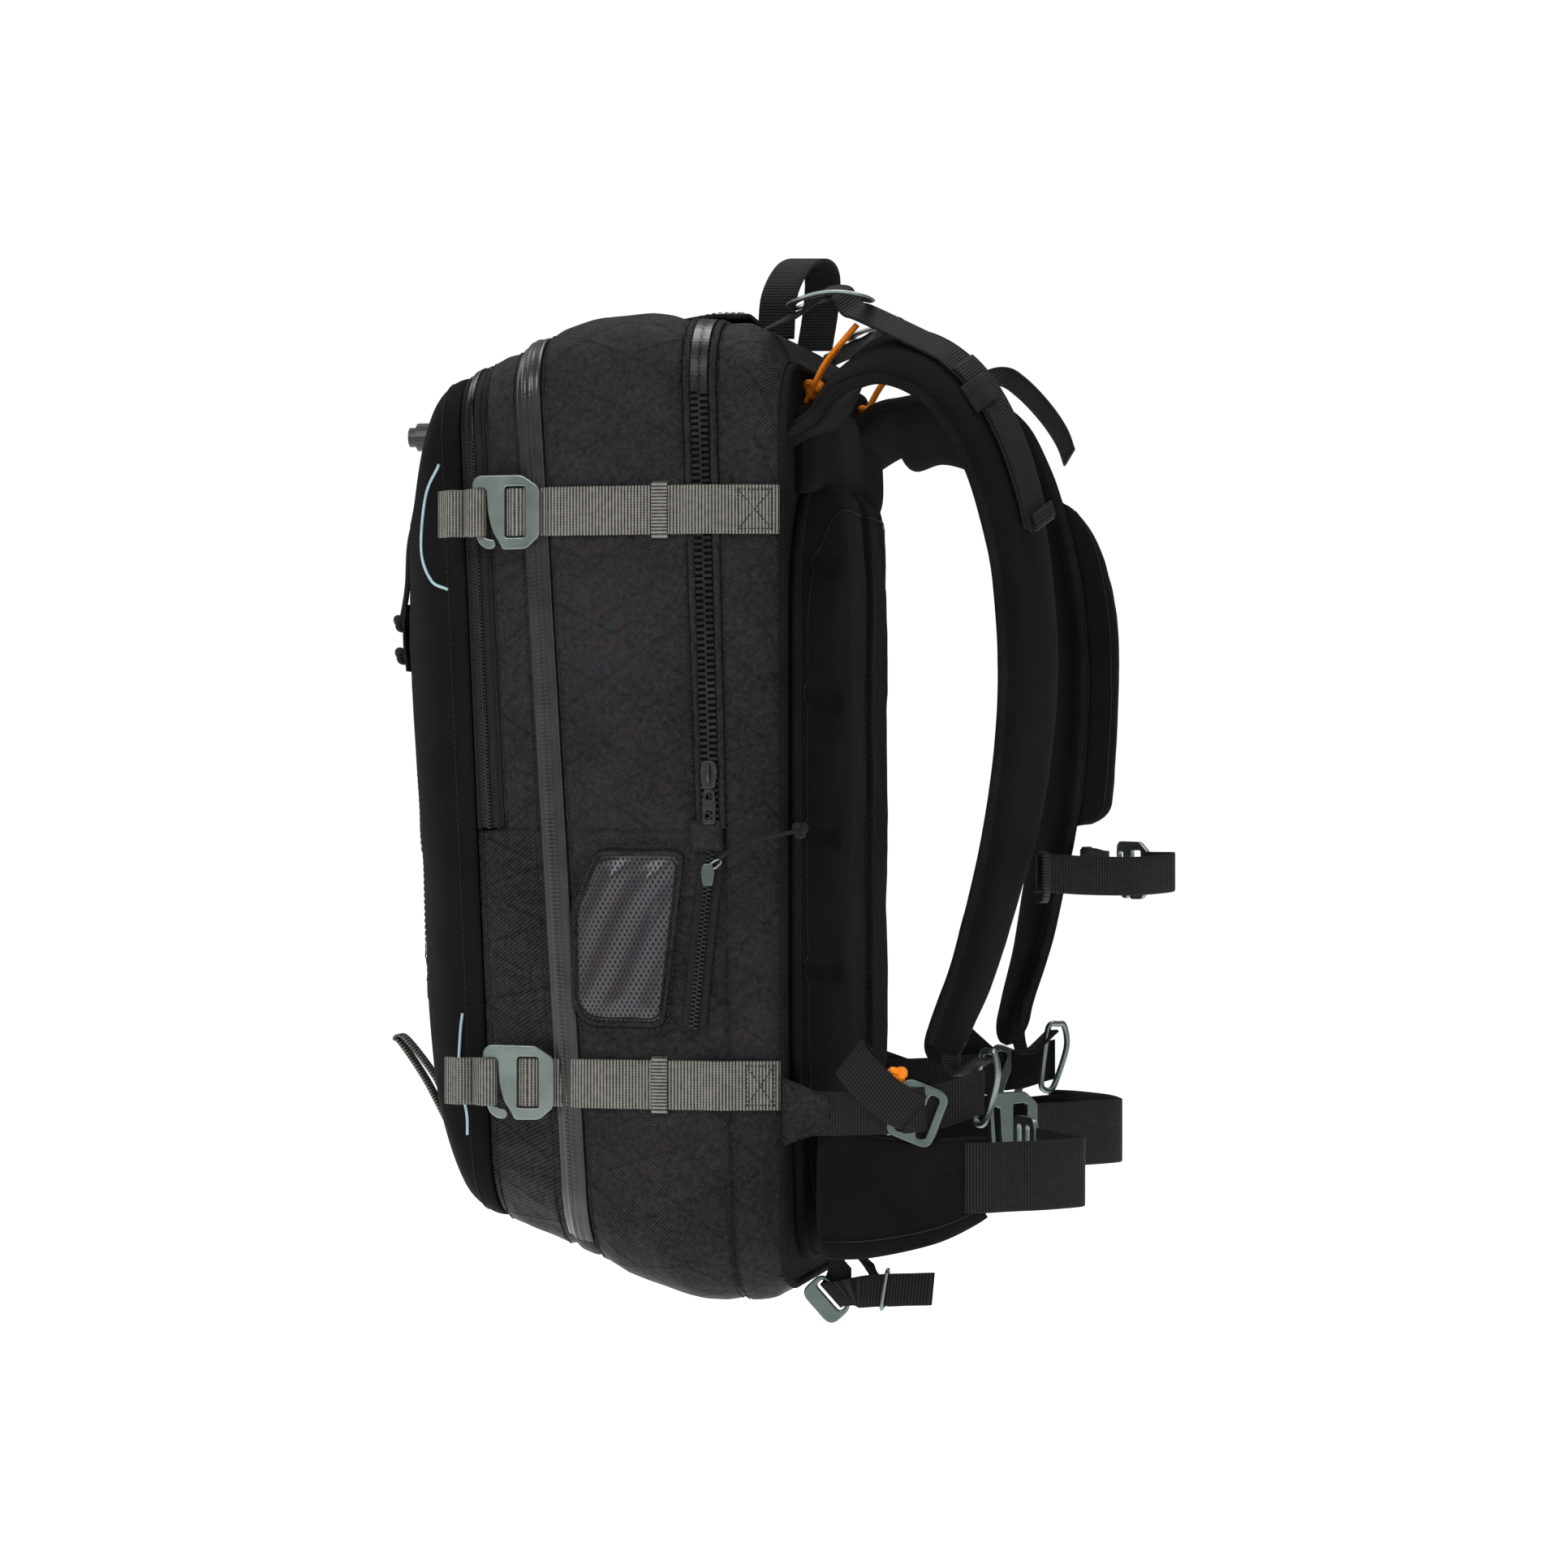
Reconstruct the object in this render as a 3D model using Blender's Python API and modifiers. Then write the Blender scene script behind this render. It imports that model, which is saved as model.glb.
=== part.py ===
"""Avalanche airbag backpack: pack bag, airbag system inside it, and its harness.

Metres, +Z up, +X towards the wearer, +Y to the wearer's left. The origin is the middle of the
flat face of the back panel, which lies against the wearer's back.
"""

import math

import bmesh
import bpy
from mathutils import Matrix, Vector

# ---------------------------------------------------------------- driving dimensions
GAP = 0.0004  # clearance kept between touching pieces
FABRIC = 0.0020  # fabric wall with its lining
TAPE = 0.0014  # zip tape
WEBBING = 0.0016
STRAP_FOAM = 0.010
SKI_WEB_WIDTH = 0.025
HIP_WEB_WIDTH = 0.035
STERNUM_WEB_WIDTH = 0.020

# Side view of the bag: height of the top and bottom edges along x, and half width along x.
TOP_LINE = (
    (-0.200, 0.2125), (-0.191, 0.2165), (-0.166, 0.2228), (-0.148, 0.2300), (-0.123, 0.2352),
    (-0.093, 0.2380), (-0.067, 0.2368), (-0.042, 0.2345), (-0.033, 0.2300), (-0.0205, 0.2120),
)
BOTTOM_LINE = (
    (-0.200, -0.2120), (-0.186, -0.2240), (-0.170, -0.2285), (-0.150, -0.2340), (-0.123, -0.2430),
    (-0.097, -0.2510), (-0.076, -0.2580), (-0.042, -0.2635), (-0.029, -0.2605), (-0.0205, -0.2560),
)
HALF_WIDTH_LINE = (
    (-0.1985, 0.106), (-0.182, 0.117), (-0.1605, 0.1295), (-0.147, 0.1345), (-0.100, 0.1375),
    (-0.055, 0.1370), (-0.0205, 0.1310),
)
# The seams lean back as they run down: metres of x for each metre below LEAN_TOP.
LEAN_LINE = ((-0.200, 0.043), (-0.154, 0.062), (-0.066, 0.030), (-0.0205, 0.0))
LEAN_TOP = 0.21
CORNER_RADIUS = 0.034
CORNER_STEPS = 4

# Where each panel of the bag starts and ends, as seam stations along x at the top.
FRONT_SEAM = -0.1985
FRONT_ZIP = (-0.1980, -0.1822)
GUSSET_REAR = -0.1610
MAIN_ZIP = (-0.1604, -0.1480)
SIDE_PANEL_FRONT = -0.1475
AIRBAG_ZIP = (-0.0705, -0.0560)
REAR_GUSSET = (-0.0555, -0.0222)
ZIP_END_Z = -0.0225  # the front and airbag zips stop here, going down both sides
FRONT_BULGE = 0.050

BACK_FACE_X = 0.0
BACK_FACE_HALF_WIDTH = 0.050
BACK_SLOPE = 0.0160  # how far the panel's sides fall back from its flat middle
BACK_PROFILE = (
    (-0.2520, -0.0110), (-0.2420, -0.0030), (-0.1600, -0.0015), (-0.1500, BACK_FACE_X),
    (0.1500, BACK_FACE_X), (0.1660, -0.0100), (0.2050, -0.0130), (0.2080, -0.0160),
)
BACK_PANEL_REAR = -0.0200
BACK_PANEL_HALF_WIDTH = 0.128

STRAP_NAMES = (("right", -1), ("left", 1))

COLOURS = {
    "pack_fabric": ((0.016, 0.016, 0.017), 0.75, 0.0),
    "black_webbing": ((0.012, 0.012, 0.013), 0.8, 0.0),
    "grey_webbing": ((0.13, 0.12, 0.115), 0.75, 0.0),
    "zip_tape": ((0.02, 0.021, 0.022), 0.6, 0.0),
    "coated_zip": ((0.035, 0.037, 0.038), 0.35, 0.0),
    "foam": ((0.011, 0.010, 0.009), 0.9, 0.0),
    "mesh": ((0.02, 0.02, 0.02), 0.4, 0.0),
    "anodised_metal": ((0.20, 0.23, 0.22), 0.35, 1.0),
    "dark_metal": ((0.03, 0.035, 0.035), 0.35, 1.0),
    "black_plastic": ((0.012, 0.012, 0.012), 0.45, 0.0),
    "orange": ((0.9, 0.22, 0.02), 0.6, 0.0),
    "airbag_fabric": ((0.75, 0.12, 0.02), 0.7, 0.0),
    "frame_plastic": ((0.05, 0.05, 0.05), 0.5, 0.0),
    "capacitor_sleeve": ((0.02, 0.05, 0.12), 0.4, 0.0),
    "motor_metal": ((0.45, 0.45, 0.47), 0.3, 1.0),
}


# ---------------------------------------------------------------- small helpers
def clear_scene():
    for obj in list(bpy.data.objects):
        bpy.data.objects.remove(obj, do_unlink=True)


def new_collection(name):
    collection = bpy.data.collections.new(name)
    bpy.context.scene.collection.children.link(collection)
    return collection


def make_materials():
    made = {}
    for name, (colour, roughness, metallic) in COLOURS.items():
        material = bpy.data.materials.new(name)
        material.use_nodes = True
        shader = material.node_tree.nodes["Principled BSDF"]
        shader.inputs["Base Color"].default_value = (*colour, 1.0)
        shader.inputs["Roughness"].default_value = roughness
        shader.inputs["Metallic"].default_value = metallic
        made[name] = material
    return made


clear_scene()
PACK = new_collection("avalanche_airbag_backpack")
CUTTERS = new_collection("cutters")
MATERIALS = make_materials()


def line_at(line, x):
    """Height of a polyline of (x, value) points at x, held level past its ends."""
    if x <= line[0][0]:
        return line[0][1]
    for (x0, v0), (x1, v1) in zip(line, line[1:]):
        if x <= x1:
            return v0 + (v1 - v0) * (x - x0) / (x1 - x0)
    return line[-1][1]


def smooth_path(points, steps):
    """Points along a Catmull-Rom curve through the given ones."""
    points = [Vector(p) for p in points]
    ends = [points[0] * 2 - points[1]] + points + [points[-1] * 2 - points[-2]]
    path = []
    for a, b, c, d in zip(ends, ends[1:], ends[2:], ends[3:]):
        for k in range(steps):
            t = k / steps
            path.append(
                0.5 * (2 * b + (c - a) * t + (2 * a - 5 * b + 4 * c - d) * t * t
                       + (3 * b - a - 3 * c + d) * t * t * t)
            )
    return path + [points[-1]]


def finish(obj, material, collection=None):
    (collection or PACK).objects.link(obj)
    obj.data.materials.append(MATERIALS[material])
    return obj


def mesh_object(name, bm, material):
    mesh = bpy.data.meshes.new(name)
    bm.to_mesh(mesh)
    bm.free()
    return finish(bpy.data.objects.new(name, mesh), material)


def sheet(name, rows, thickness, material, loop=False, cap=False, offset=-1.0):
    """An open surface through rows of points, thickened by Solidify; loop joins each row's ends."""
    bm = bmesh.new()
    grid = [[bm.verts.new(p) for p in row] for row in rows]
    count = len(rows[0])
    for lower, upper in zip(grid, grid[1:]):
        for i in range(count if loop else count - 1):
            j = (i + 1) % count
            bm.faces.new((lower[i], lower[j], upper[j], upper[i]))
    if cap:
        centre = bm.verts.new(sum((v.co for v in grid[-1]), Vector()) / count)
        for i in range(count):
            bm.faces.new((grid[-1][i], grid[-1][(i + 1) % count], centre))
    obj = mesh_object(name, bm, material)
    solidify = obj.modifiers.new("thickness", "SOLIDIFY")
    solidify.thickness = thickness
    solidify.offset = offset
    return obj


def loft(name, loops, material):
    """A solid through closed loops of points, with a flat cap on each end."""
    bm = bmesh.new()
    grid = [[bm.verts.new(p) for p in loop] for loop in loops]
    count = len(loops[0])
    for lower, upper in zip(grid, grid[1:]):
        for i in range(count):
            j = (i + 1) % count
            bm.faces.new((lower[i], lower[j], upper[j], upper[i]))
    bm.faces.new(reversed(grid[0]))
    bm.faces.new(grid[-1])
    return mesh_object(name, bm, material)


def ribbon(name, path, half_widths, material, thickness=WEBBING):
    """Flat webbing along a path; half_widths is one vector, or one for each point."""
    if isinstance(half_widths, (tuple, Vector)):
        half_widths = [half_widths] * len(path)
    rows = [(Vector(p) - Vector(h), Vector(p) + Vector(h)) for p, h in zip(path, half_widths)]
    return sheet(name, rows, thickness, material, offset=0.0)


def plate(name, outlines, thickness, material, matrix, bevel=0.0006):
    """A flat plate: the first outline is its edge and the others are holes."""
    curve = bpy.data.curves.new(name, "CURVE")
    curve.dimensions = "2D"
    curve.fill_mode = "BOTH"
    curve.extrude = thickness / 2 - bevel
    curve.bevel_depth = bevel
    curve.bevel_resolution = 0
    curve.offset = -bevel
    for outline in outlines:
        spline = curve.splines.new("POLY")
        spline.points.add(len(outline) - 1)
        for point, (x, y) in zip(spline.points, outline):
            point.co = (x, y, 0, 1)
        spline.use_cyclic_u = True
    obj = finish(bpy.data.objects.new(name, curve), material)
    obj.matrix_world = matrix
    return obj


def wire(name, points, radius, material, closed=False, resolution=2):
    curve = bpy.data.curves.new(name, "CURVE")
    curve.dimensions = "3D"
    curve.bevel_depth = radius
    curve.bevel_resolution = resolution
    curve.use_fill_caps = True
    spline = curve.splines.new("POLY")
    spline.points.add(len(points) - 1)
    for point, co in zip(spline.points, points):
        point.co = (*co, 1)
    spline.use_cyclic_u = closed
    return finish(bpy.data.objects.new(name, curve), material)


def box(name, low, high, material, bevel=0.0):
    bm = bmesh.new()
    bmesh.ops.create_cube(bm, size=1.0)
    size = Vector(high) - Vector(low)
    bmesh.ops.scale(bm, vec=size, verts=bm.verts)
    obj = mesh_object(name, bm, material)
    obj.location = (Vector(low) + Vector(high)) / 2
    if bevel:
        modifier = obj.modifiers.new("edges", "BEVEL")
        modifier.width = bevel
        modifier.segments = 2
    return obj


def cylinder(name, start, end, radius, material, segments=24):
    start, end = Vector(start), Vector(end)
    bm = bmesh.new()
    bmesh.ops.create_cone(
        bm, cap_ends=True, segments=segments, radius1=radius, radius2=radius,
        depth=(end - start).length,
    )
    obj = mesh_object(name, bm, material)
    obj.location = (start + end) / 2
    obj.rotation_euler = (end - start).to_track_quat("Z", "Y").to_euler()
    return obj


def as_tool(obj):
    """Makes obj a cutter or a piece to be joined, which isn't a node itself."""
    PACK.objects.unlink(obj)
    CUTTERS.objects.link(obj)
    obj.hide_render = True
    obj.display_type = "WIRE"
    return obj


def combine(obj, other, operation):
    modifier = obj.modifiers.new(operation.lower(), "BOOLEAN")
    modifier.operation = operation
    modifier.object = as_tool(other)
    return obj


def axes_matrix(x_axis, y_axis, location):
    """Places a local XY plane along two world directions."""
    x_axis, y_axis = Vector(x_axis).normalized(), Vector(y_axis).normalized()
    matrix = Matrix((x_axis, y_axis, x_axis.cross(y_axis))).transposed().to_4x4()
    matrix.translation = Vector(location)
    return matrix


def rounded(width, height, radius, centre=(0.0, 0.0), steps=3):
    """A rectangle's outline with round corners, anticlockwise."""
    outline = []
    for k, (sx, sy) in enumerate(((1, 1), (-1, 1), (-1, -1), (1, -1))):
        for i in range(steps + 1):
            angle = math.pi / 2 * (k + i / steps)
            outline.append((
                centre[0] + sx * (width / 2 - radius) + radius * math.cos(angle),
                centre[1] + sy * (height / 2 - radius) + radius * math.sin(angle),
            ))
    return outline


# ---------------------------------------------------------------- the bag's panels
def section(station):
    """The bag's outline at a seam station, as points that start at the right side's zip end.

    It runs up the right side, over the top, down the left side and back along the bottom.
    """
    lean = line_at(LEAN_LINE, station)
    half = line_at(HALF_WIDTH_LINE, station)
    top = line_at(TOP_LINE, station)
    bottom = line_at(BOTTOM_LINE, station + lean * (LEAN_TOP + 0.24))
    radius = min(CORNER_RADIUS, half * 0.5)
    loop = [(-half, ZIP_END_Z + 0.0010)]
    centres = ((-1, top), (1, top), (1, bottom), (-1, bottom))
    for k, (side, edge) in enumerate(centres):
        centre_z = edge - radius if edge == top else edge + radius
        for i in range(CORNER_STEPS + 1):
            angle = math.pi - math.pi / 2 * (k + i / CORNER_STEPS)
            loop.append((
                side * (half - radius) + radius * math.cos(angle),
                centre_z + radius * math.sin(angle),
            ))
        if k == 1:
            loop += [(half, ZIP_END_Z + 0.0010), (half, ZIP_END_Z - 0.0010)]
    loop.append((-half, ZIP_END_Z - 0.0010))
    return [Vector((station + lean * (LEAN_TOP - z), y, z)) for y, z in loop]


ARCH_POINTS = 2 * (CORNER_STEPS + 1) + 2  # the points of a section above the zips' ends


def band(name, front, rear, rows, thickness, material, arch=False, below=None):
    """A panel between two seam stations; below gives other stations under the zips' ends."""
    grid = []
    for k in range(rows + 1):
        share = k / rows
        upper = section(front + (rear - front) * share)
        lower = upper
        if below:
            lower = section(below[0] + (below[1] - below[0]) * share)
        row = upper[:ARCH_POINTS] + lower[ARCH_POINTS:]
        grid.append(row[:ARCH_POINTS] if arch else row)
    return sheet(name, grid, thickness, material, loop=not arch, offset=1.0)


def make_front_panel():
    rim = section(FRONT_SEAM)
    middle = Vector((0, 0, (rim[1].z + rim[-2].z) / 2))
    rows = []
    for share in (1.0, 0.97, 0.9, 0.75, 0.5, 0.22):
        bulge = FRONT_BULGE * (1 - share * share) ** 0.47
        row = []
        for p in rim:
            y = p.y * share
            z = middle.z + (p.z - middle.z) * share
            x = FRONT_SEAM + line_at(LEAN_LINE, FRONT_SEAM) * (LEAN_TOP - z) - bulge
            row.append(Vector((x, y, z)))
        rows.append(row)
    # Each row runs the other way round, so that the faces point out of the pack.
    rows = [row[::-1] for row in rows]
    return sheet("front_panel", rows, FABRIC, "pack_fabric", loop=True, cap=True, offset=1.0)


def make_intake_window(panel):
    """Cuts the mesh window of the fan's air intake in the right side."""
    window = plate(
        "window_cutter", [rounded(0.058, 0.088, 0.012)], 0.06, "mesh",
        axes_matrix((1, 0, 0), (0, 0, 1), (-0.0995, -0.1375, -0.0785)), bevel=0.0,
    )
    mesh = bpy.data.meshes.new_from_object(
        window.evaluated_get(bpy.context.evaluated_depsgraph_get())
    )
    bm = bmesh.new()
    bm.from_mesh(mesh)
    bmesh.ops.remove_doubles(bm, verts=bm.verts, dist=1e-6)
    bm.to_mesh(mesh)
    bm.free()
    cutter = bpy.data.objects.new("window_cutter_mesh", mesh)
    PACK.objects.link(cutter)
    cutter.matrix_world = window.matrix_world
    bpy.data.objects.remove(window)
    combine(panel, cutter, "DIFFERENCE")
    plate(
        "intake_mesh", [rounded(0.0568, 0.0868, 0.0115)], 0.0008, "mesh",
        axes_matrix((1, -0.016, 0), (0, 0, 1), (-0.0995, -0.1366, -0.0785)), bevel=0.0,
    )


def make_bag():
    make_front_panel()
    band("front_zip_tape", *FRONT_ZIP, 1, TAPE, "zip_tape", arch=True)
    band("tool_pocket_gusset", FRONT_ZIP[1] + 0.0004, GUSSET_REAR, 2, FABRIC, "pack_fabric",
         below=(FRONT_ZIP[0], GUSSET_REAR))
    band("main_zip_tape", *MAIN_ZIP, 1, TAPE, "coated_zip")
    panel = band("main_side_panel", SIDE_PANEL_FRONT, AIRBAG_ZIP[0] - 0.0004, 3, FABRIC,
                 "pack_fabric", below=(SIDE_PANEL_FRONT, AIRBAG_ZIP[1] - 0.0008))
    band("airbag_zip_tape", *AIRBAG_ZIP, 1, TAPE, "zip_tape", arch=True)
    band("rear_gusset", *REAR_GUSSET, 3, FABRIC, "pack_fabric")
    make_intake_window(panel)


def make_back():
    """The foam back panel: flat in the middle and sloping away towards its sides."""
    rows = []
    for z, face in BACK_PROFILE:
        slope = BACK_SLOPE if face > -0.010 else 0.0020
        edge = max(face - slope, BACK_PANEL_REAR + 0.0020)
        half = BACK_PANEL_HALF_WIDTH
        rows.append([
            Vector((x, y, z)) for x, y in (
                (BACK_PANEL_REAR, -half), (edge, -half), (face, -BACK_FACE_HALF_WIDTH),
                (face, BACK_FACE_HALF_WIDTH), (edge, half), (BACK_PANEL_REAR, half),
            )
        ])
    loft("back_panel", rows, "foam")
    box("frame_sheet", (-0.0265, -0.118, -0.235), (-0.0250, 0.118, 0.190), "frame_plastic")


def make_top():
    """The flap over the airbag zip's crown, and the grab handle behind it."""
    flap = [(-0.0945, 0.2402), (-0.0900, 0.2430), (-0.0720, 0.2460), (-0.0550, 0.2455)]
    rows = [[Vector((x, y, z)) for x, z in flap] for y in (-0.060, 0.060)]
    sheet("top_flap", rows, 0.0030, "pack_fabric", offset=0.0)
    handle = smooth_path([
        (-0.0435, -0.035, 0.2372), (-0.0420, -0.033, 0.258), (-0.0365, -0.020, 0.2745),
        (-0.0310, 0.000, 0.2800), (-0.0290, 0.020, 0.2745), (-0.0320, 0.033, 0.258),
        (-0.0360, 0.035, 0.2372),
    ], 3)
    ribbon("grab_handle", handle, (0.009, 0.002, 0), "black_webbing", 0.002)


# ---------------------------------------------------------------- straps on the bag
def on_side(station, z, side, lift):
    """A point over the bag's side wall: on a seam station at height z, lift off the fabric."""
    x = station + line_at(LEAN_LINE, station) * (LEAN_TOP - z)
    return Vector((x, side * (line_at(HALF_WIDTH_LINE, station) + lift), z))


def g_hook_outline():
    """Hook plate: a webbing slot at one end and an open hook at the other, pivot edge at x 0."""
    edge = [
        (0.0, 0.0125), (-0.0100, 0.0188), (-0.0345, 0.0190), (-0.0374, 0.0165), (-0.0378, 0.0115),
        (-0.0356, -0.0120), (-0.0338, -0.0160), (-0.0300, -0.0186), (-0.0262, -0.0188),
        (-0.0244, -0.0168), (-0.0252, -0.0140), (-0.0290, -0.0136), (-0.0326, -0.0115),
        (-0.0350, 0.0112), (-0.0340, 0.0122), (-0.0308, 0.0122), (-0.0298, 0.0112),
        (-0.0290, 0.0000), (-0.0268, -0.0090), (-0.0225, -0.0155), (-0.0208, -0.0188),
        (-0.0190, -0.0192), (-0.0075, -0.0190), (0.0, -0.0125),
    ]
    return [edge, rounded(0.0115, 0.0262, 0.0020, (-0.0138, 0.0))]


def make_ski_straps():
    levels = (("upper", 0.1390, -0.1490, 10.0), ("lower", -0.1525, -0.1600, 2.0))
    for level, z, last, tilt in levels:
        front_to_back = (last, -0.147, -0.100, -0.055, -0.0225)
        for side_name, side in STRAP_NAMES:
            path = [on_side(s, z, side, GAP + WEBBING / 2) for s in front_to_back]
            ribbon(f"ski_strap_{level}_{side_name}", path, (0, 0, SKI_WEB_WIDTH / 2),
                   "grey_webbing")
            pivot = on_side(last, z, side, 0.0036) + Vector((-0.0012, 0, 0))
            turn = math.radians(tilt)
            along = (math.cos(turn), side * math.sin(turn), 0)
            plate(f"ski_hook_{level}_{side_name}", g_hook_outline(), 0.0026,
                  "anodised_metal", axes_matrix(along, (0, 0, 1), pivot))


def make_axe_carry():
    loop = smooth_path([
        (-0.2110, -0.026, -0.1960), (-0.2215, -0.024, -0.1880), (-0.2380, -0.021, -0.1600),
        (-0.2525, -0.019, -0.1400), (-0.2560, -0.019, -0.1375), (-0.2505, -0.019, -0.1370),
        (-0.2330, -0.021, -0.1580), (-0.2255, -0.024, -0.1740),
    ], 2)
    ribbon("axe_loop", loop, (0, 0.0055, 0), "grey_webbing", 0.0016)
    centre = Vector((-0.2335, -0.045, 0.1850))
    out = Vector((-1, 0, 0))
    barrel = cylinder("cord_lock_barrel", centre - out * 0.0070, centre + out * 0.0025, 0.0075,
                      "black_plastic", 16)
    combine(barrel, cylinder("cord_lock_bore", centre - out * 0.0040, centre + out * 0.02, 0.0058,
                             "black_plastic", 16), "DIFFERENCE")
    cylinder("cord_lock_button", centre + out * 0.0005, centre + out * 0.0070, 0.0052,
             "dark_metal", 16)


# ---------------------------------------------------------------- zip sliders
def make_zip_sliders():
    wall = on_side(-0.0632, 0.0045, -1, GAP)
    box("airbag_zip_slider", wall + Vector((-0.0043, -0.0042, -0.0065)),
        wall + Vector((0.0043, 0, 0.0065)), "black_plastic", 0.0012)
    plate(
        "airbag_zip_pull",
        [rounded(0.0070, 0.0190, 0.0030, (0, -0.0082)), rounded(0.0032, 0.0050, 0.0012,
                                                               (0, -0.0030))],
        0.0020, "black_plastic",
        axes_matrix((1, 0, 0), (0, 0, 1), wall + Vector((0, -0.0024, -0.0080))), bevel=0.0004,
    )
    wall = on_side(-0.0653, -0.0460, -1, GAP)
    box("side_zip_slider", wall + Vector((-0.0040, -0.0040, -0.0070)),
        wall + Vector((0.0040, 0, 0.0070)), "black_plastic", 0.0012)
    top = line_at(TOP_LINE, -0.154)
    box("main_zip_slider", (-0.1580, -0.007, top + 0.0026), (-0.1500, 0.007, top + 0.0066),
        "anodised_metal", 0.0012)


# ---------------------------------------------------------------- shoulder straps
# Lateral and medial edges of the right strap's middle surface, from its root seam on the pack,
# over the shoulder and down the chest to its lower end.
STRAP_EDGES = (
    ((-0.0050, -0.126, 0.1740), (-0.0040, -0.034, 0.1900)),
    ((0.0010, -0.127, 0.1900), (0.0040, -0.036, 0.2170)),
    ((0.0120, -0.127, 0.2020), (0.0170, -0.040, 0.2320)),
    ((0.0270, -0.125, 0.2055), (0.0350, -0.046, 0.2340)),
    ((0.0450, -0.123, 0.1995), (0.0560, -0.052, 0.2245)),
    ((0.0610, -0.121, 0.1855), (0.0740, -0.056, 0.2070)),
    ((0.0745, -0.120, 0.1620), (0.0875, -0.058, 0.1810)),
    ((0.0835, -0.120, 0.1360), (0.0965, -0.059, 0.1500)),
    ((0.0900, -0.121, 0.1050), (0.1030, -0.060, 0.1150)),
    ((0.0935, -0.122, 0.0660), (0.1065, -0.061, 0.0710)),
    ((0.0925, -0.124, 0.0270), (0.1055, -0.065, 0.0300)),
    ((0.0880, -0.128, -0.0150), (0.1005, -0.074, -0.0140)),
    ((0.0815, -0.133, -0.0530), (0.0910, -0.086, -0.0530)),
    ((0.0720, -0.137, -0.0900), (0.0805, -0.098, -0.0920)),
    ((0.0600, -0.140, -0.1215), (0.0690, -0.108, -0.1220)),
    ((0.0520, -0.141, -0.1400), (0.0640, -0.117, -0.1430)),
)
LEFT_ARCH_DROP = 0.012  # the left strap lies this much lower over the shoulder


def strap_edges(side):
    edges = []
    for pair in STRAP_EDGES:
        moved = []
        for x, y, z in pair:
            if side > 0:
                share = min(max((z - 0.05) / 0.12, 0.0), 1.0)
                z -= LEFT_ARCH_DROP * share * min(1.0, max(0.0, (x + 0.004) / 0.012))
            moved.append(Vector((x, -side * y, z)))
        edges.append(moved)
    return edges


def strap_point(side, station, across, lift):
    """A point on a strap: station along it, across from -1 lateral to 1 medial, lift off it."""
    edges = strap_edges(side)
    k = min(int(station), len(edges) - 2)
    share = station - k
    lateral = edges[k][0].lerp(edges[k + 1][0], share)
    medial = edges[k][1].lerp(edges[k + 1][1], share)
    along = edges[k + 1][0] + edges[k + 1][1] - edges[k][0] - edges[k][1]
    normal = along.cross(medial - lateral).normalized() * -side
    return lateral.lerp(medial, (across + 1) / 2) + normal * lift


def make_shoulder_straps():
    for name, side in STRAP_NAMES:
        rows = [[a, a.lerp(b, 0.5), b] for a, b in strap_edges(side)]
        sheet(f"shoulder_strap_{name}", rows, STRAP_FOAM, "foam", offset=0.0)
        make_load_lifter(name, side)
        make_lower_adjuster(name, side)


def make_load_lifter(name, side):
    """Webbing from the pack's top edge through a buckle and down onto the strap's outer face."""
    y = side * 0.088
    drop = LEFT_ARCH_DROP if side > 0 else 0.0
    lift = STRAP_FOAM / 2 + 0.0022
    path = [
        Vector((-0.0350, y, 0.2350)), Vector((-0.0240, y, 0.2400)), Vector((-0.0060, y, 0.2430)),
        Vector((0.0120, y, 0.2420 - drop * 0.3)),
    ]
    half = [Vector((0, 0.010, 0))] * len(path)
    for station in (4.2, 5.0, 6.0, 6.8, 7.4):
        path.append(strap_point(side, station, 0.0, lift))
        across = strap_point(side, station, 1, 0) - strap_point(side, station, -1, 0)
        half.append(across.normalized() * 0.010 * -side)
    ribbon(f"load_lifter_{name}", path, half, "black_webbing")
    matrix = axes_matrix((1, 0, 0.10), (0, 1, 0), (-0.0045, y, 0.2490))
    plate(f"lifter_buckle_{name}",
          [rounded(0.0450, 0.0300, 0.006), rounded(0.0080, 0.0215, 0.002, (-0.009, 0)),
           rounded(0.0080, 0.0215, 0.002, (0.009, 0))],
          0.0030, "anodised_metal", matrix)


def make_lower_adjuster(name, side):
    """Lower webbing from the pack's side, its ladder buckle, and the wire ring on the strap."""
    path = [
        Vector((-0.0170, side * 0.1345, -0.1660)), Vector((0.0120, side * 0.1420, -0.1655)),
        Vector((0.0400, side * 0.1500, -0.1640)), Vector((0.0610, side * 0.1480, -0.1600)),
        Vector((0.0760, side * 0.1400, -0.1560)),
    ]
    path = smooth_path(path, 2)
    ribbon(f"lower_webbing_{name}", path, (0, 0, 0.0118), "black_webbing")
    middle = Vector((0.0510, side * 0.1535, -0.1620))
    plate(f"ladder_buckle_{name}",
          [rounded(0.0260, 0.0330, 0.006), rounded(0.0055, 0.0240, 0.0015, (-0.0055, 0)),
           rounded(0.0055, 0.0240, 0.0015, (0.0055, 0))],
          0.0028, "dark_metal", axes_matrix((1, 0, 0.05), (0, 0, 1), middle))
    ring = [(0, 0.0180), (0.0030, 0.0170), (0.0045, 0.0060), (0.0010, -0.0080), (-0.0030, -0.0180),
            (-0.0070, -0.0185), (-0.0085, -0.0130), (-0.0060, 0.0100), (-0.0040, 0.0175)]
    centre = Vector((0.0845, side * 0.1310, -0.1520))
    points = [centre + Vector((a, side * a * 0.8, b)) for a, b in ring]
    wire(f"strap_ring_{name}", points, 0.0017, "anodised_metal", closed=True)


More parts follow.
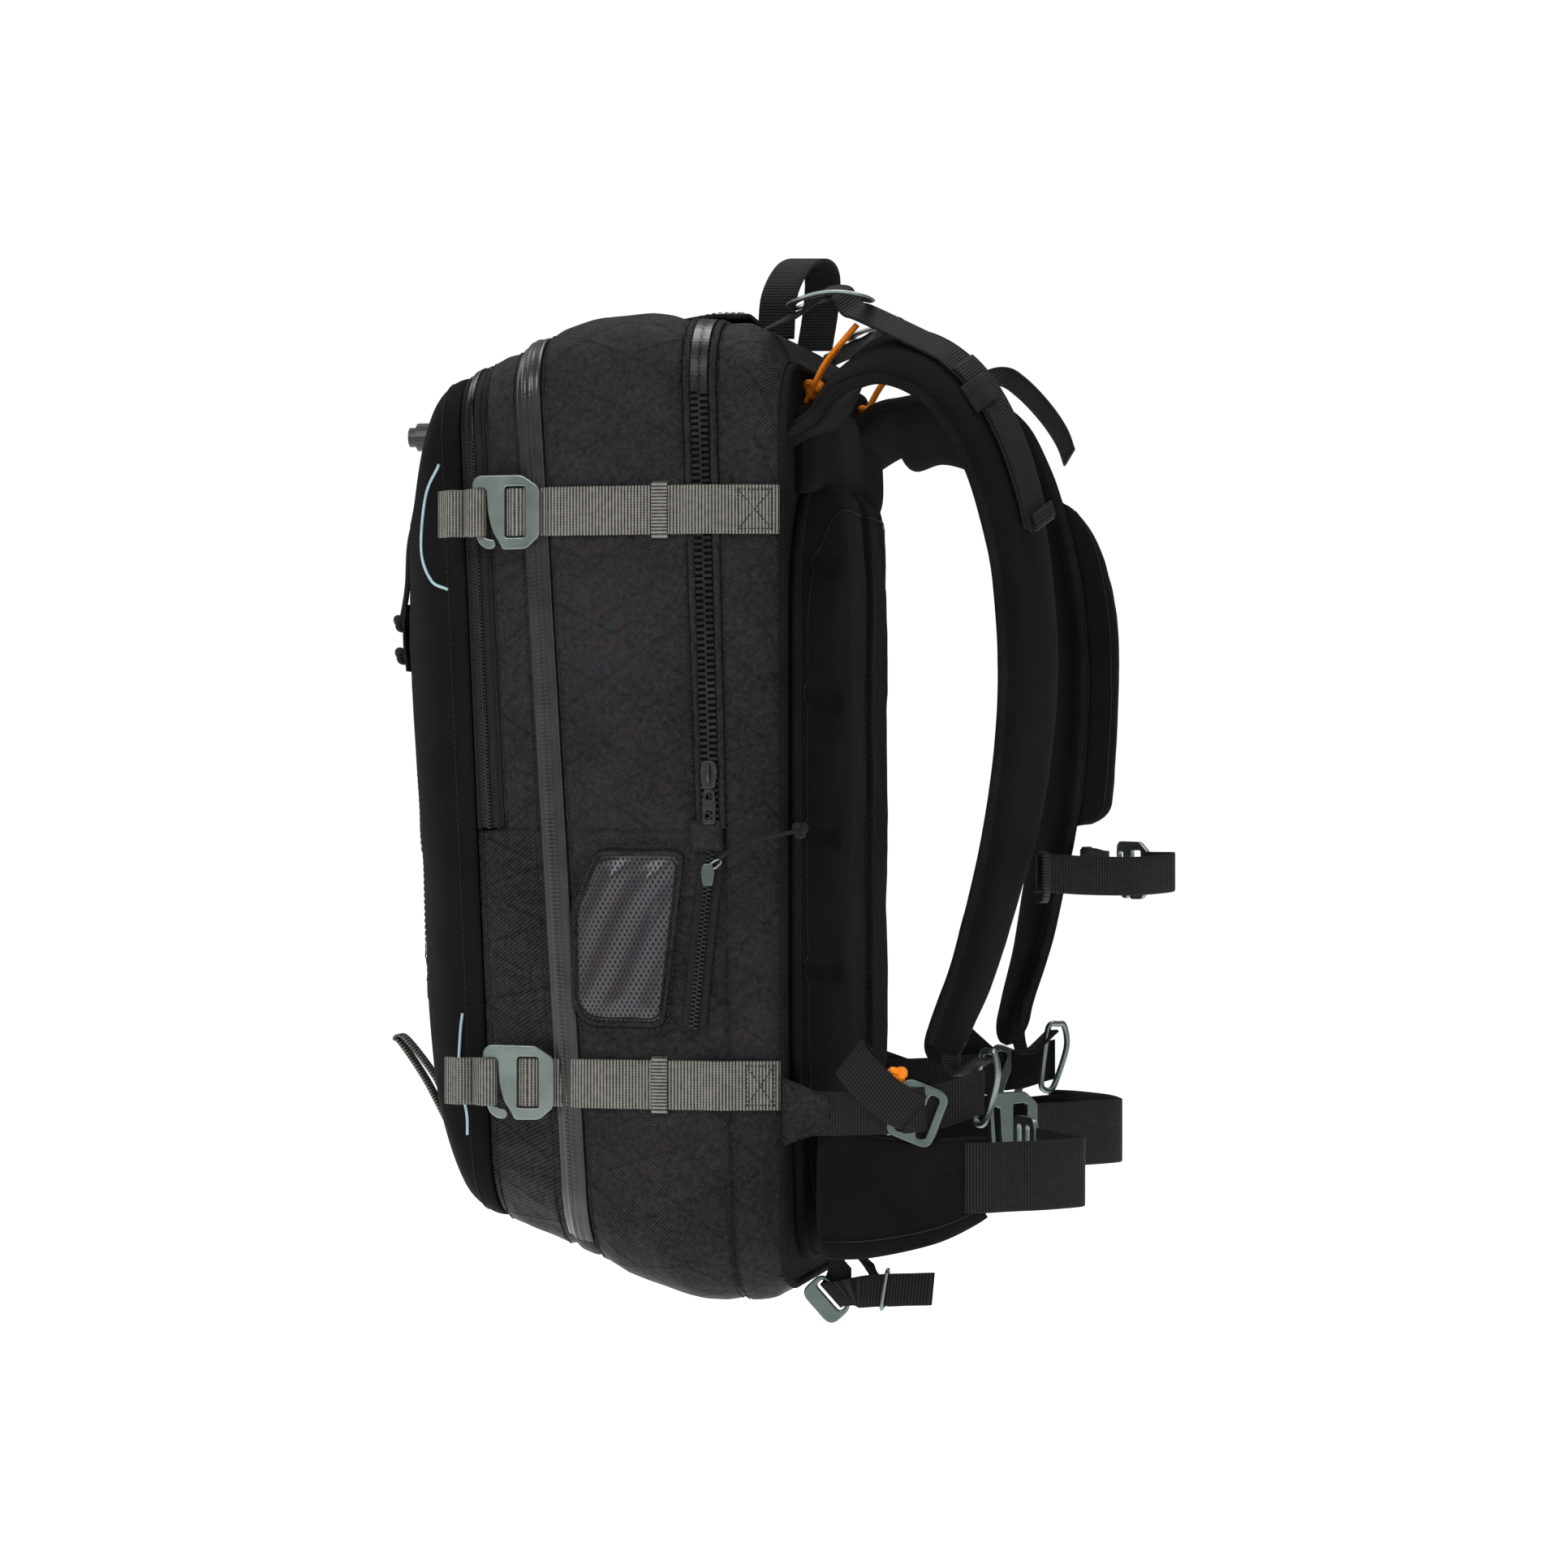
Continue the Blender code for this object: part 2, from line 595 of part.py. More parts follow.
def make_trigger():
    """Zipped pocket on the left strap's outer face, with the pull handle stowed inside."""
    side = 1
    rim = STRAP_FOAM / 2 + 0.0020
    crown = STRAP_FOAM / 2 + 0.0165
    rows = []
    for station in (6.6, 7.4, 8.2, 9.0, 9.8, 10.6, 11.2):
        height = crown if station > 6.7 else rim + 0.006
        across = ((-0.88, rim), (-0.80, height * 0.75), (-0.45, height), (0.45, height),
                  (0.80, height * 0.75), (0.88, rim))
        rows.append([strap_point(side, station, a, lift) for a, lift in across])
    sheet("trigger_pocket", rows, 0.0014, "pack_fabric", offset=0.0)
    base = strap_point(side, 9.3, 0.0, STRAP_FOAM / 2 + 0.0070)
    out = strap_point(side, 9.3, 0.0, 1.0) - strap_point(side, 9.3, 0.0, 0.0)
    down = Vector((0, 0, -1))
    plate(
        "trigger_handle",
        [[(-0.009, 0.034), (0.009, 0.034), (0.0095, -0.010), (0.0125, -0.030), (0.0100, -0.036),
          (-0.0100, -0.036), (-0.0125, -0.030), (-0.0095, -0.010)],
         rounded(0.0085, 0.0300, 0.003, (0, -0.010))],
        0.0060, "orange", axes_matrix(out.cross(down), -down, base), bevel=0.0010,
    )


def make_sternum():
    z = -0.0455
    half = (0, 0, STERNUM_WEB_WIDTH / 2)
    right = smooth_path([
        (0.1025, -0.0930, z), (0.1070, -0.0830, z), (0.1260, -0.0690, z), (0.1490, -0.0520, z),
        (0.1640, -0.0300, z),
        (0.1650, -0.0210, z), (0.1590, -0.0165, z), (0.1530, -0.0125, z),
    ], 2)
    ribbon("sternum_strap_right", right, half, "black_webbing")
    left = smooth_path([
        (0.1235, 0.0250, z), (0.1150, 0.0480, z), (0.1060, 0.0820, z), (0.1025, 0.0930, z),
    ], 2)
    ribbon("sternum_strap_left", left, half, "black_webbing")
    start, end = Vector((0.1510, -0.0100, z)), Vector((0.1270, 0.0200, z))
    along = start - end
    outline, slot = g_hook_outline()
    scale = 0.80
    outlines = [[(x * scale, y * scale) for x, y in part] for part in (outline, slot)]
    plate("sternum_hook", outlines, 0.0024, "anodised_metal",
          axes_matrix(along, (0, 0, 1), start))


# ---------------------------------------------------------------- hip belt and leg strap
HIP_STATIONS = (
    # x, y, low edge, top edge of the right wing's middle surface
    (0.0035, -0.0760, -0.2345, -0.1805),
    (-0.0005, -0.1100, -0.2350, -0.1800),
    (0.0040, -0.1330, -0.2350, -0.1800),
    (0.0270, -0.1450, -0.2335, -0.1800),
    (0.0590, -0.1510, -0.2265, -0.1800),
    (0.0790, -0.1510, -0.2175, -0.1800),
    (0.0900, -0.1480, -0.2100, -0.1810),
)


def make_hip_belt():
    for name, side in STRAP_NAMES:
        rows = [
            [Vector((x, -side * y, low)), Vector((x, -side * y, top))]
            for x, y, low, top in HIP_STATIONS
        ]
        sheet(f"hip_wing_{name}", rows, 0.010, "foam", offset=0.0)
    half = (0, 0, HIP_WEB_WIDTH / 2)
    right = smooth_path([
        (0.0970, -0.1450, -0.1955), (0.1130, -0.1330, -0.1955), (0.1290, -0.1120, -0.1955),
        (0.1285, -0.1040, -0.1955), (0.1180, -0.0860, -0.1955), (0.1020, -0.0600, -0.1955),
    ], 2)
    ribbon("hip_webbing_right", right, half, "black_webbing")
    left = smooth_path([
        (0.0970, 0.1450, -0.1900), (0.1130, 0.1250, -0.1900), (0.1230, 0.0960, -0.1900),
        (0.1215, 0.0860, -0.1900), (0.1060, 0.0680, -0.1900), (0.0860, 0.0480, -0.1880),
    ], 2)
    ribbon("hip_webbing_left", left, half, "black_webbing")
    plate("hip_buckle",
          [rounded(0.0300, 0.0450, 0.007), rounded(0.0065, 0.0360, 0.002, (-0.006, 0)),
           rounded(0.0065, 0.0360, 0.002, (0.006, 0))],
          0.0030, "anodised_metal",
          axes_matrix((0.45, -0.8, 0), (0, 0, 1), (0.0905, -0.0420, -0.1955)))
    outline, slot = g_hook_outline()
    outlines = [[(x, y * 1.1) for x, y in part] for part in (outline, slot)]
    plate("hip_hook", outlines, 0.0028, "dark_metal",
          axes_matrix((0.55, 0.8, 0), (0, 0, 1), (0.0840, 0.0450, -0.1860)))


def make_leg_strap():
    """Safety leg loop that hangs from the pack's lower right corner: it folds through a plate."""
    path = smooth_path([
        (0.0030, -0.0990, -0.2420), (0.0028, -0.0990, -0.2485), (0.0012, -0.0990, -0.2562),
        (-0.0006, -0.0994, -0.2597), (-0.0014, -0.1020, -0.2615), (-0.0006, -0.1046, -0.2608),
        (0.0062, -0.1050, -0.2598), (0.0240, -0.1050, -0.2585), (0.0480, -0.1050, -0.2570),
    ], 3)
    fold = (0.0055, 0, -0.0060)
    ribbon("leg_strap", path, fold, "black_webbing", 0.0016)
    across = (0.0060, 0, 0.0055)
    plate("leg_hook", [rounded(0.0240, 0.0160, 0.006), rounded(0.0182, 0.0052, 0.002, (0, 0.0034))],
          0.0026, "dark_metal", axes_matrix(fold, across, (-0.0039, -0.1020, -0.2635)))


# ---------------------------------------------------------------- airbag system inside
FAN_CENTRE = Vector((-0.0975, -0.0980, -0.0800))
FAN_RADIUS = 0.0420
FAN_WALL = 0.0020
FAN_HALF_DEPTH = 0.0190


def make_airbag():
    """The folded balloon: a horseshoe behind the airbag zip, over the top and down both sides."""
    outer, inner = (0.1290, 0.2230), (0.0850, 0.1800)
    low = -0.0120
    outline = [(-outer[0], low), (-inner[0], low), (-inner[0], inner[1] - 0.02),
               (-inner[0] + 0.02, inner[1]), (inner[0] - 0.02, inner[1]),
               (inner[0], inner[1] - 0.02), (inner[0], low), (outer[0], low),
               (outer[0], outer[1] - 0.03), (outer[0] - 0.03, outer[1]),
               (-outer[0] + 0.03, outer[1]), (-outer[0], outer[1] - 0.03)]
    plate("airbag_folded", [outline], 0.0400, "airbag_fabric",
          axes_matrix((0, 1, 0), (0, 0, 1), (-0.0520, 0, 0)), bevel=0.0040)


def make_fan():
    axis = Vector((0, 1, 0))
    centre = FAN_CENTRE
    housing = cylinder("fan_housing", centre - axis * FAN_HALF_DEPTH, centre + axis * FAN_HALF_DEPTH,
                       FAN_RADIUS, "black_plastic", 32)
    outlet = box("outlet_block", (-0.0850, centre.y - 0.0160, -0.0750), (-0.0565, centre.y + 0.0160,
                 -0.0300), "black_plastic")
    combine(housing, outlet, "UNION")
    inner = FAN_RADIUS - FAN_WALL
    combine(housing, cylinder("housing_cavity", centre - axis * (FAN_HALF_DEPTH - FAN_WALL),
                              centre + axis * (FAN_HALF_DEPTH - FAN_WALL), inner,
                              "black_plastic", 32), "DIFFERENCE")
    combine(housing, box("outlet_cavity", (-0.0830, centre.y - 0.0140, -0.0760),
                         (-0.0585, centre.y + 0.0140, -0.0200), "black_plastic"), "DIFFERENCE")
    combine(housing, cylinder("intake_hole", centre - axis * 0.03, centre, 0.0230,
                              "black_plastic", 24), "DIFFERENCE")
    combine(housing, cylinder("shaft_hole", centre, centre + axis * 0.03, 0.0060,
                              "black_plastic", 16), "DIFFERENCE")
    make_impeller(centre, axis)
    motor = cylinder("fan_motor", centre + axis * 0.0195, centre + axis * 0.0470, 0.0155,
                     "motor_metal", 24)
    combine(motor, cylinder("motor_shaft", centre - axis * 0.006, centre + axis * 0.025, 0.0020,
                            "motor_metal", 12), "UNION")
    box("outlet_duct", (-0.0855, centre.y - 0.0165, -0.0295), (-0.0560, centre.y + 0.0165, -0.0125),
        "black_plastic", 0.002)
    duct = bpy.data.objects["outlet_duct"]
    combine(duct, box("duct_bore", (-0.0830, centre.y - 0.0140, -0.05),
                      (-0.0585, centre.y + 0.0140, 0.01), "black_plastic"), "DIFFERENCE")


def make_impeller(centre, axis):
    rear = centre + axis * 0.0120
    impeller = cylinder("fan_impeller", rear, rear + axis * 0.0020, 0.0370, "black_plastic", 32)
    impeller.location = centre
    impeller.data.transform(Matrix.Translation((0, 0, 0.0130)))
    combine(impeller, cylinder("hub", centre - axis * 0.008, rear + axis * 0.001, 0.0080,
                               "black_plastic", 16), "UNION")
    blades = 12
    for k in range(blades):
        angle = 2 * math.pi * k / blades
        radial = Vector((math.cos(angle), 0, math.sin(angle)))
        sweep = axis.cross(radial)
        middle = centre + radial * 0.0270 + axis * 0.0030
        blade = box(f"blade_{k + 1}", (-0.0085, -0.0095, -0.0006), (0.0085, 0.0095, 0.0006),
                    "black_plastic")
        direction = (radial + sweep * 0.35).normalized()
        blade.matrix_world = axes_matrix(direction, axis, middle)
        combine(impeller, blade, "UNION")
    combine(impeller, cylinder("hub_bore", centre - axis * 0.02, centre + axis * 0.03, 0.0024,
                               "black_plastic", 12), "DIFFERENCE")


def make_electronics():
    box("control_box", (-0.1330, -0.0480, -0.1220), (-0.0600, 0.0340, -0.0420), "black_plastic",
        0.004)
    y = 0.0560
    cell = cylinder("supercapacitor_pack", (-0.1140, y, -0.1180), (-0.1140, y, -0.0500), 0.0180,
                    "capacitor_sleeve", 24)
    combine(cell, cylinder("second_cell", (-0.0760, y, -0.1180), (-0.0760, y, -0.0500), 0.0180,
                           "capacitor_sleeve", 24), "UNION")
    combine(cell, box("end_board", (-0.1300, y - 0.0150, -0.0510), (-0.0600, y + 0.0150, -0.0480),
                      "capacitor_sleeve"), "UNION")
    box("power_switch", (-0.1385, -0.0200, -0.0740), (-0.1335, -0.0060, -0.0640), "orange",
        0.001)


# ---------------------------------------------------------------- joint axes
# A point on each joint's axis, and the nodes that turn or slide on it.
PIVOTS = (
    ((-0.1336, 0.0, -0.2430),
     ("front_panel", "front_zip_tape", "tool_pocket_gusset", "cord_lock_barrel")),
    ((-0.2110, -0.0260, -0.1960), ("axe_loop",)),
    ((-0.0945, 0.0, 0.2402), ("top_flap",)),
    ((-0.0398, 0.0, 0.2374), ("grab_handle",)),
    ((0.1025, -0.0930, -0.0455), ("sternum_strap_right",)),
    ((0.1025, 0.0930, -0.0455), ("sternum_strap_left", "sternum_hook")),
    ((0.0040, -0.1300, -0.2070), ("hip_wing_right", "hip_webbing_right", "hip_buckle")),
    ((0.0040, 0.1300, -0.2070), ("hip_wing_left", "hip_webbing_left", "hip_hook")),
    ((0.0030, -0.0990, -0.2420), ("leg_strap", "leg_hook")),
)


def set_origin(obj, point):
    """Moves an object's origin to a point and leaves its shape where it is."""
    offset = obj.matrix_basis.inverted() @ Vector(point)
    obj.data.transform(Matrix.Translation(-offset))
    obj.location = point


def place_origins():
    for point, names in PIVOTS:
        for name in names:
            set_origin(bpy.data.objects[name], point)
    wall = on_side(-0.0632, 0.0045, -1, GAP)
    set_origin(bpy.data.objects["airbag_zip_pull"], wall + Vector((0, -0.0024, -0.0085)))


def main():
    make_bag()
    make_back()
    make_top()
    make_ski_straps()
    make_axe_carry()
    make_zip_sliders()
    make_shoulder_straps()
    make_trigger()
    make_sternum()
    make_hip_belt()
    make_leg_strap()
    make_airbag()
    make_fan()
    make_electronics()
    place_origins()


main()
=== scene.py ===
"""Looks of the avalanche airbag backpack: fabric shells, zips, webbing, pads, metal and cords.

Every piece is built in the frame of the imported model: metres, +Z up, +X towards the wearer.
"""

import itertools
import math

import bpy
import numpy as np
from mathutils import Matrix, Vector


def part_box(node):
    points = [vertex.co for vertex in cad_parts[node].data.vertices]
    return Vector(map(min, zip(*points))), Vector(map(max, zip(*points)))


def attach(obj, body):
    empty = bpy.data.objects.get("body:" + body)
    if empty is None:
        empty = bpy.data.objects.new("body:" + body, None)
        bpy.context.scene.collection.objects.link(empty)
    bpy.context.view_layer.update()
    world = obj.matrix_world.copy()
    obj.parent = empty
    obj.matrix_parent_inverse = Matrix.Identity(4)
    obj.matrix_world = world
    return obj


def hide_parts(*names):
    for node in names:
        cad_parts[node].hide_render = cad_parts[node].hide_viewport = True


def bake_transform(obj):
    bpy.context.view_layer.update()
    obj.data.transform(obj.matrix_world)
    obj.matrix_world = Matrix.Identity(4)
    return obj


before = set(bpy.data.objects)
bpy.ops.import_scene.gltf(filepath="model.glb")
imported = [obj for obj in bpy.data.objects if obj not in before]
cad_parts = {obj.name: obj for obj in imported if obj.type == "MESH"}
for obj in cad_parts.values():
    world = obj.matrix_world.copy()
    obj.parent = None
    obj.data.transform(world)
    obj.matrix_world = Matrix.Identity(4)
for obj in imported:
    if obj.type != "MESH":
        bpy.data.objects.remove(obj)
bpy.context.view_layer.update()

# ---- dimensions shared with the CAD
TOP_LINE = (
    (-0.200, 0.2125), (-0.191, 0.2165), (-0.166, 0.2228), (-0.148, 0.2300), (-0.123, 0.2352),
    (-0.093, 0.2380), (-0.067, 0.2368), (-0.042, 0.2345), (-0.033, 0.2300), (-0.0205, 0.2120),
)
BOTTOM_LINE = (
    (-0.200, -0.2120), (-0.186, -0.2240), (-0.170, -0.2285), (-0.150, -0.2340), (-0.123, -0.2430),
    (-0.097, -0.2510), (-0.076, -0.2580), (-0.042, -0.2635), (-0.029, -0.2605), (-0.0205, -0.2560),
)
HALF_WIDTH_LINE = (
    (-0.1985, 0.106), (-0.182, 0.117), (-0.1605, 0.1295), (-0.147, 0.1345), (-0.100, 0.1375),
    (-0.055, 0.1370), (-0.0205, 0.1310),
)
LEAN_LINE = ((-0.200, 0.043), (-0.154, 0.062), (-0.066, 0.030), (-0.0205, 0.0))
LEAN_TOP = 0.21
CORNER_RADIUS = 0.034
ZIP_END_Z = -0.0225
FRONT_SEAM = -0.1981
FRONT_BULGE = 0.050
FRONT_ZIP = (-0.1980, -0.1822)
GUSSET_REAR = -0.1610
MAIN_ZIP = (-0.1604, -0.1480)
SIDE_PANEL_FRONT = -0.1479
AIRBAG_ZIP = (-0.0705, -0.0560)
REAR_GUSSET = (-0.0559, -0.0222)
SIDE_SLIDER = (-0.0653, -0.0460)  # seam station and height of the side zip's slider
STRAP_LEVELS = {"upper": 0.1390, "lower": -0.1525}
HOOK_TILT = {"upper": 10.0, "lower": 2.0}
HOOK_STATION = {"upper": -0.1490, "lower": -0.1600}
SKI_WEB_HALF = 0.0125
SIDES = {"right": -1, "left": 1}
NET_ZONE = ((-0.0925, -0.0790), (0.0420, 0.0480))  # middle and half size of the net and its zip
WINDOW = ((-0.1165, -0.0350), (-0.0715, -0.0350), (-0.0815, -0.1220), (-0.1208, -0.1215),
          (-0.1280, -0.1132), (-0.1285, -0.0636))
SHELL, TAPE, WEBBING = 0.0016, 0.0009, 0.0016  # thickness of walls, zip tapes and webbing
EDGE_RIM = 0.0022  # half thickness of a padded piece at its bound edge
PAD_SIDES = 44  # points round a padded piece's cross section

# Points along the bag's outline: on each half wall, round each corner and across top or bottom
WALL_STEPS, CORNER_STEPS, FLAT_STEPS = 84, 16, 70
ARCH_END = 2 * WALL_STEPS + 2 * CORNER_STEPS + FLAT_STEPS  # the left zip end on the outline
BAG_MIDDLE = (-0.110, 0.0, -0.015)


# ---- numbers and noise
def line_at(line, x):
    return float(np.interp(x, [p[0] for p in line], [p[1] for p in line]))


def unit(vectors):
    length = np.linalg.norm(vectors, axis=-1, keepdims=True)
    return vectors / np.maximum(length, 1e-12)


def heading(path):
    """Unit tangents of a path."""
    return unit(np.gradient(path, axis=0))


def mirrored(points, side):
    """Points given for the left side, moved to the side wanted: 1 left or -1 right."""
    return np.array(points) * (1, side, 1)


def between(low, high, share):
    """From low at -1 to high at 1."""
    return (low + high) / 2 + (high - low) / 2 * share


CELL_PRIMES = (73856093, 19349663, 83492791)
SEED_FACTOR, FIRST_MIX, SECOND_MIX = 2654435, 1274126177, 2246822519  # they spread the bits
WORD = 0xFFFFFFFF


def lattice(cell, seed):
    """Repeatable numbers from -1 to 1, one for each whole-numbered cell."""
    x, y, z = (cell[..., k] * CELL_PRIMES[k] for k in range(3))
    mixed = (x ^ y ^ z ^ (seed * SEED_FACTOR)) & WORD
    mixed = ((mixed ^ (mixed >> 13)) * FIRST_MIX) & WORD
    mixed = ((mixed ^ (mixed >> 15)) * SECOND_MIX) & WORD
    return ((mixed >> 8) & 0xFFFF) / 32767.5 - 1.0


def noise(points, seed):
    """Smooth noise, about -1 to 1, that changes over a distance of 1."""
    base = np.floor(points).astype(np.int64)
    part = points - base
    part = part * part * (3 - 2 * part)
    total = np.zeros(points.shape[:-1])
    for corner in itertools.product((0, 1), repeat=3):
        weight = np.prod(np.where(corner, part, 1 - part), axis=-1)
        total += weight * lattice(base + np.array(corner), seed)
    return total


def fractal(points, seed):
    """Noise at three scales, each twice as fine and half as strong as the last."""
    return sum(noise(points * 2**k, seed + k) / 2**k for k in range(3))


def creases(u, v, per_u, per_v, seed):
    """Soft cloth folds: rounded swells with narrow valleys, from -1 to 1."""
    warp = noise(np.stack([u * 18, v * 18, u * 0 + seed], -1), seed + 9) * 0.6
    coords = np.stack([u * per_u + warp, v * per_v + warp, u * 0 + 0.37 * seed], -1)
    ridge = 1 - np.abs(noise(coords, seed)) * 2
    return 0.6 * ridge + 0.4 * noise(coords * 1.7 + 5, seed + 4)


def smooth_path(points, steps=8):
    """Points along a Catmull-Rom curve through the given ones."""
    points = np.array(points, float)
    ends = np.vstack([2 * points[0] - points[1], points, 2 * points[-1] - points[-2]])
    path = []
    for a, b, c, d in zip(ends, ends[1:], ends[2:], ends[3:]):
        for t in np.arange(steps) / steps:
            path.append(
                0.5 * (2 * b + (c - a) * t + (2 * a - 5 * b + 4 * c - d) * t * t
                       + (3 * b - a - 3 * c + d) * t ** 3)
            )
    return np.array(path + [points[-1]])


def length_along(path):
    return np.concatenate([[0], np.cumsum(np.linalg.norm(np.diff(path, axis=0), axis=1))])


def resample(path, pitch):
    path = np.array(path, float)
    along = length_along(path)
    count = max(2, int(round(along[-1] / pitch)) + 1)
    marks = np.linspace(0, along[-1], count)
    return np.stack([np.interp(marks, along, path[:, k]) for k in range(path.shape[1])], -1)


# ---- materials
def add(tree, kind, inputs=None, **settings):
    """A shader node; an input's value is either a number or a socket to link."""
    made = tree.nodes.new(kind)
    for key, value in settings.items():
        setattr(made, key, value)
    for key, value in (inputs or {}).items():
        if isinstance(value, bpy.types.NodeSocket):
            tree.links.new(value, made.inputs[key])
        else:
            made.inputs[key].default_value = value
    return made


def new_material(name, **sockets):
    """A material and its tree; each socket of its shader is named with _ for a space."""
    material = bpy.data.materials.new(name)
    material.use_nodes = True
    tree = material.node_tree
    for key, value in sockets.items():
        tree.nodes["Principled BSDF"].inputs[key.replace("_", " ")].default_value = value
    return material, tree


def maths(tree, operation, a, b=0.0, c=0.0):
    return add(tree, "ShaderNodeMath", {0: a, 1: b, 2: c}, operation=operation).outputs[0]


def mapped(tree, scale, turn=0.0, source="UV"):
    """Texture coordinates in metres times scale, turned about their own Z."""
    coords = add(tree, "ShaderNodeTexCoord").outputs[source]
    mapping = add(tree, "ShaderNodeMapping", {"Vector": coords, "Scale": scale,
                                              "Rotation": (0, 0, math.radians(turn))})
    return mapping.outputs[0]


def lines(tree, pitch, turn=0.0, sharp=1.0):
    """Parallel threads across the cloth: 1 on a thread's crest and 0 between threads."""
    vector = mapped(tree, (1 / pitch, 1 / pitch, 1), turn)
    split = add(tree, "ShaderNodeSeparateXYZ", {0: vector}).outputs[0]
    angle = maths(tree, "MULTIPLY", split, 2 * math.pi)
    wave = maths(tree, "MULTIPLY_ADD", maths(tree, "COSINE", angle), 0.5, 0.5)
    return maths(tree, "POWER", wave, sharp)


def speckle(tree, scale, detail=3.0, source="Object"):
    vector = mapped(tree, (1, 1, 1), source=source)
    return add(tree, "ShaderNodeTexNoise", {"Vector": vector, "Scale": scale, "Detail": detail,
                                            "Roughness": 0.6}).outputs["Fac"]


def crinkles(tree, scale):
    """Sharp-edged creases between flat facets: noise folded about its middle value."""
    return maths(tree, "ABSOLUTE", maths(tree, "SUBTRACT", speckle(tree, scale, 2), 0.5))


def blend_colours(tree, factor, dark, light):
    """Mixes two colours, each a colour or a socket, by a factor socket or number."""
    mix = tree.nodes.new("ShaderNodeMix")
    mix.data_type = "RGBA"
    colour_a, colour_b = (s for s in mix.inputs if s.type == "RGBA")
    for socket, value in ((mix.inputs[0], factor), (colour_a, dark), (colour_b, light)):
        if isinstance(value, bpy.types.NodeSocket):
            tree.links.new(value, socket)
        else:
            socket.default_value = (*value, 1) if isinstance(value, tuple) else value
    return next(s for s in mix.outputs if s.type == "RGBA")


def steps(tree, value, low, high):
    """value taken from low..high to 0..1."""
    return add(tree, "ShaderNodeMapRange", {"Value": value, "From Min": low,
                                            "From Max": high}).outputs[0]


def finished(material, colour, layers, roughness=None):
    """Links a colour, a chain of bumps, each (height socket, depth in metres), and a roughness."""
    tree = material.node_tree
    sockets = tree.nodes["Principled BSDF"].inputs
    tree.links.new(colour, sockets["Base Color"])
    if roughness:
        tree.links.new(roughness, sockets["Roughness"])
    normal = None
    for height, depth in layers:
        bump = add(tree, "ShaderNodeBump", {"Height": height, "Distance": depth, "Strength": 1.0})
        if normal:
            tree.links.new(normal, bump.inputs["Normal"])
        normal = bump.outputs[0]
    tree.links.new(normal, sockets["Normal"])
    return material


def laminate(name, dark, light, gloss):
    """Coated pack cloth: twill, a faint diamond grid of thicker threads and slight moire."""
    material, tree = new_material(name, Specular_IOR_Level=0.07)
    twill = lines(tree, 0.0013, 38)
    weft = lines(tree, 0.0013, -52, 2.0)
    grid = maths(tree, "MAXIMUM", lines(tree, 0.0260, 60, 60), lines(tree, 0.0260, -60, 60))
    broad = speckle(tree, 11, 4)
    mottle = speckle(tree, 420, 4)
    # The twill term paints its furrows darker than its crests, as painted shade; the broad and
    # fine mottle is random tone.
    tone = maths(tree, "MULTIPLY_ADD", twill, 0.34, maths(tree, "MULTIPLY", broad, 0.55))
    tone = maths(tree, "MULTIPLY_ADD", mottle, 0.9, tone)
    tone = maths(tree, "MULTIPLY_ADD", grid, -0.07, tone)
    hue = steps(tree, speckle(tree, 260, 3, "UV"), 0.40, 0.60)
    warm = tuple(c * k for c, k in zip(light, (1.22, 0.95, 0.94)))
    cool = tuple(c * k for c, k in zip(light, (0.84, 1.00, 1.20)))
    tint = blend_colours(tree, hue, warm, cool)
    base = blend_colours(tree, steps(tree, tone, 0.60, 1.25), dark, tint)
    bumps = [(twill, 0.00014), (weft, 0.00010), (grid, 0.00030), (mottle, 0.00030),
             (crinkles(tree, 26), 0.0050), (crinkles(tree, 70), 0.0016)]
    return finished(material, base, bumps, maths(tree, "MULTIPLY_ADD", broad, 0.30, gloss - 0.15))


def knit(name, dark, light, roughness, fuzz=0.02, pitch=0.0009, relief=0.0010):
    """Brushed or knitted cloth with a soft sheen."""
    material, tree = new_material(name, Roughness=roughness, Sheen_Weight=fuzz,
                                  Sheen_Roughness=0.4, Specular_IOR_Level=0.01)
    fibres = speckle(tree, 1400, 2)
    patches = speckle(tree, 22, 4)
    tone = maths(tree, "ADD", maths(tree, "MULTIPLY", fibres, 0.6),
                 maths(tree, "MULTIPLY", patches, 0.5))
    colour = blend_colours(tree, steps(tree, tone, 0.35, 0.80), dark, light)
    threads = maths(tree, "MULTIPLY", lines(tree, pitch, 0), lines(tree, pitch, 90))
    return finished(material, colour, [(threads, 0.00008), (fibres, 0.00025),
                                       (speckle(tree, 45, 3), relief)])


def ribbed(name, dark, light, roughness, pitch=0.0016):
    """Woven webbing or tape: ribs across its length and warp threads along it, with painted shade
    between them.
    """
    material, tree = new_material(name, Roughness=roughness, Sheen_Weight=0.02,
                                  Specular_IOR_Level=0.08)
    ribs = lines(tree, pitch, 0)
    warp = lines(tree, pitch * 0.8, 90, 1.0)
    weave = maths(tree, "ADD", maths(tree, "MULTIPLY", ribs, 0.85),
                  maths(tree, "MULTIPLY", warp, 0.15))
    # Colour: painted shade in the grooves between ribs and warp threads, lighter on their crests,
    # mixed with random tone.
    rib_shade_and_tone = maths(tree, "ADD", weave, maths(tree, "MULTIPLY", speckle(tree, 300, 3), 0.5))
    colour = blend_colours(tree, steps(tree, rib_shade_and_tone, 0.3, 1.15), dark, light)
    return finished(material, colour, [(ribs, 0.00022), (warp, 0.00012),
                                       (speckle(tree, 500, 2), 0.0002)])


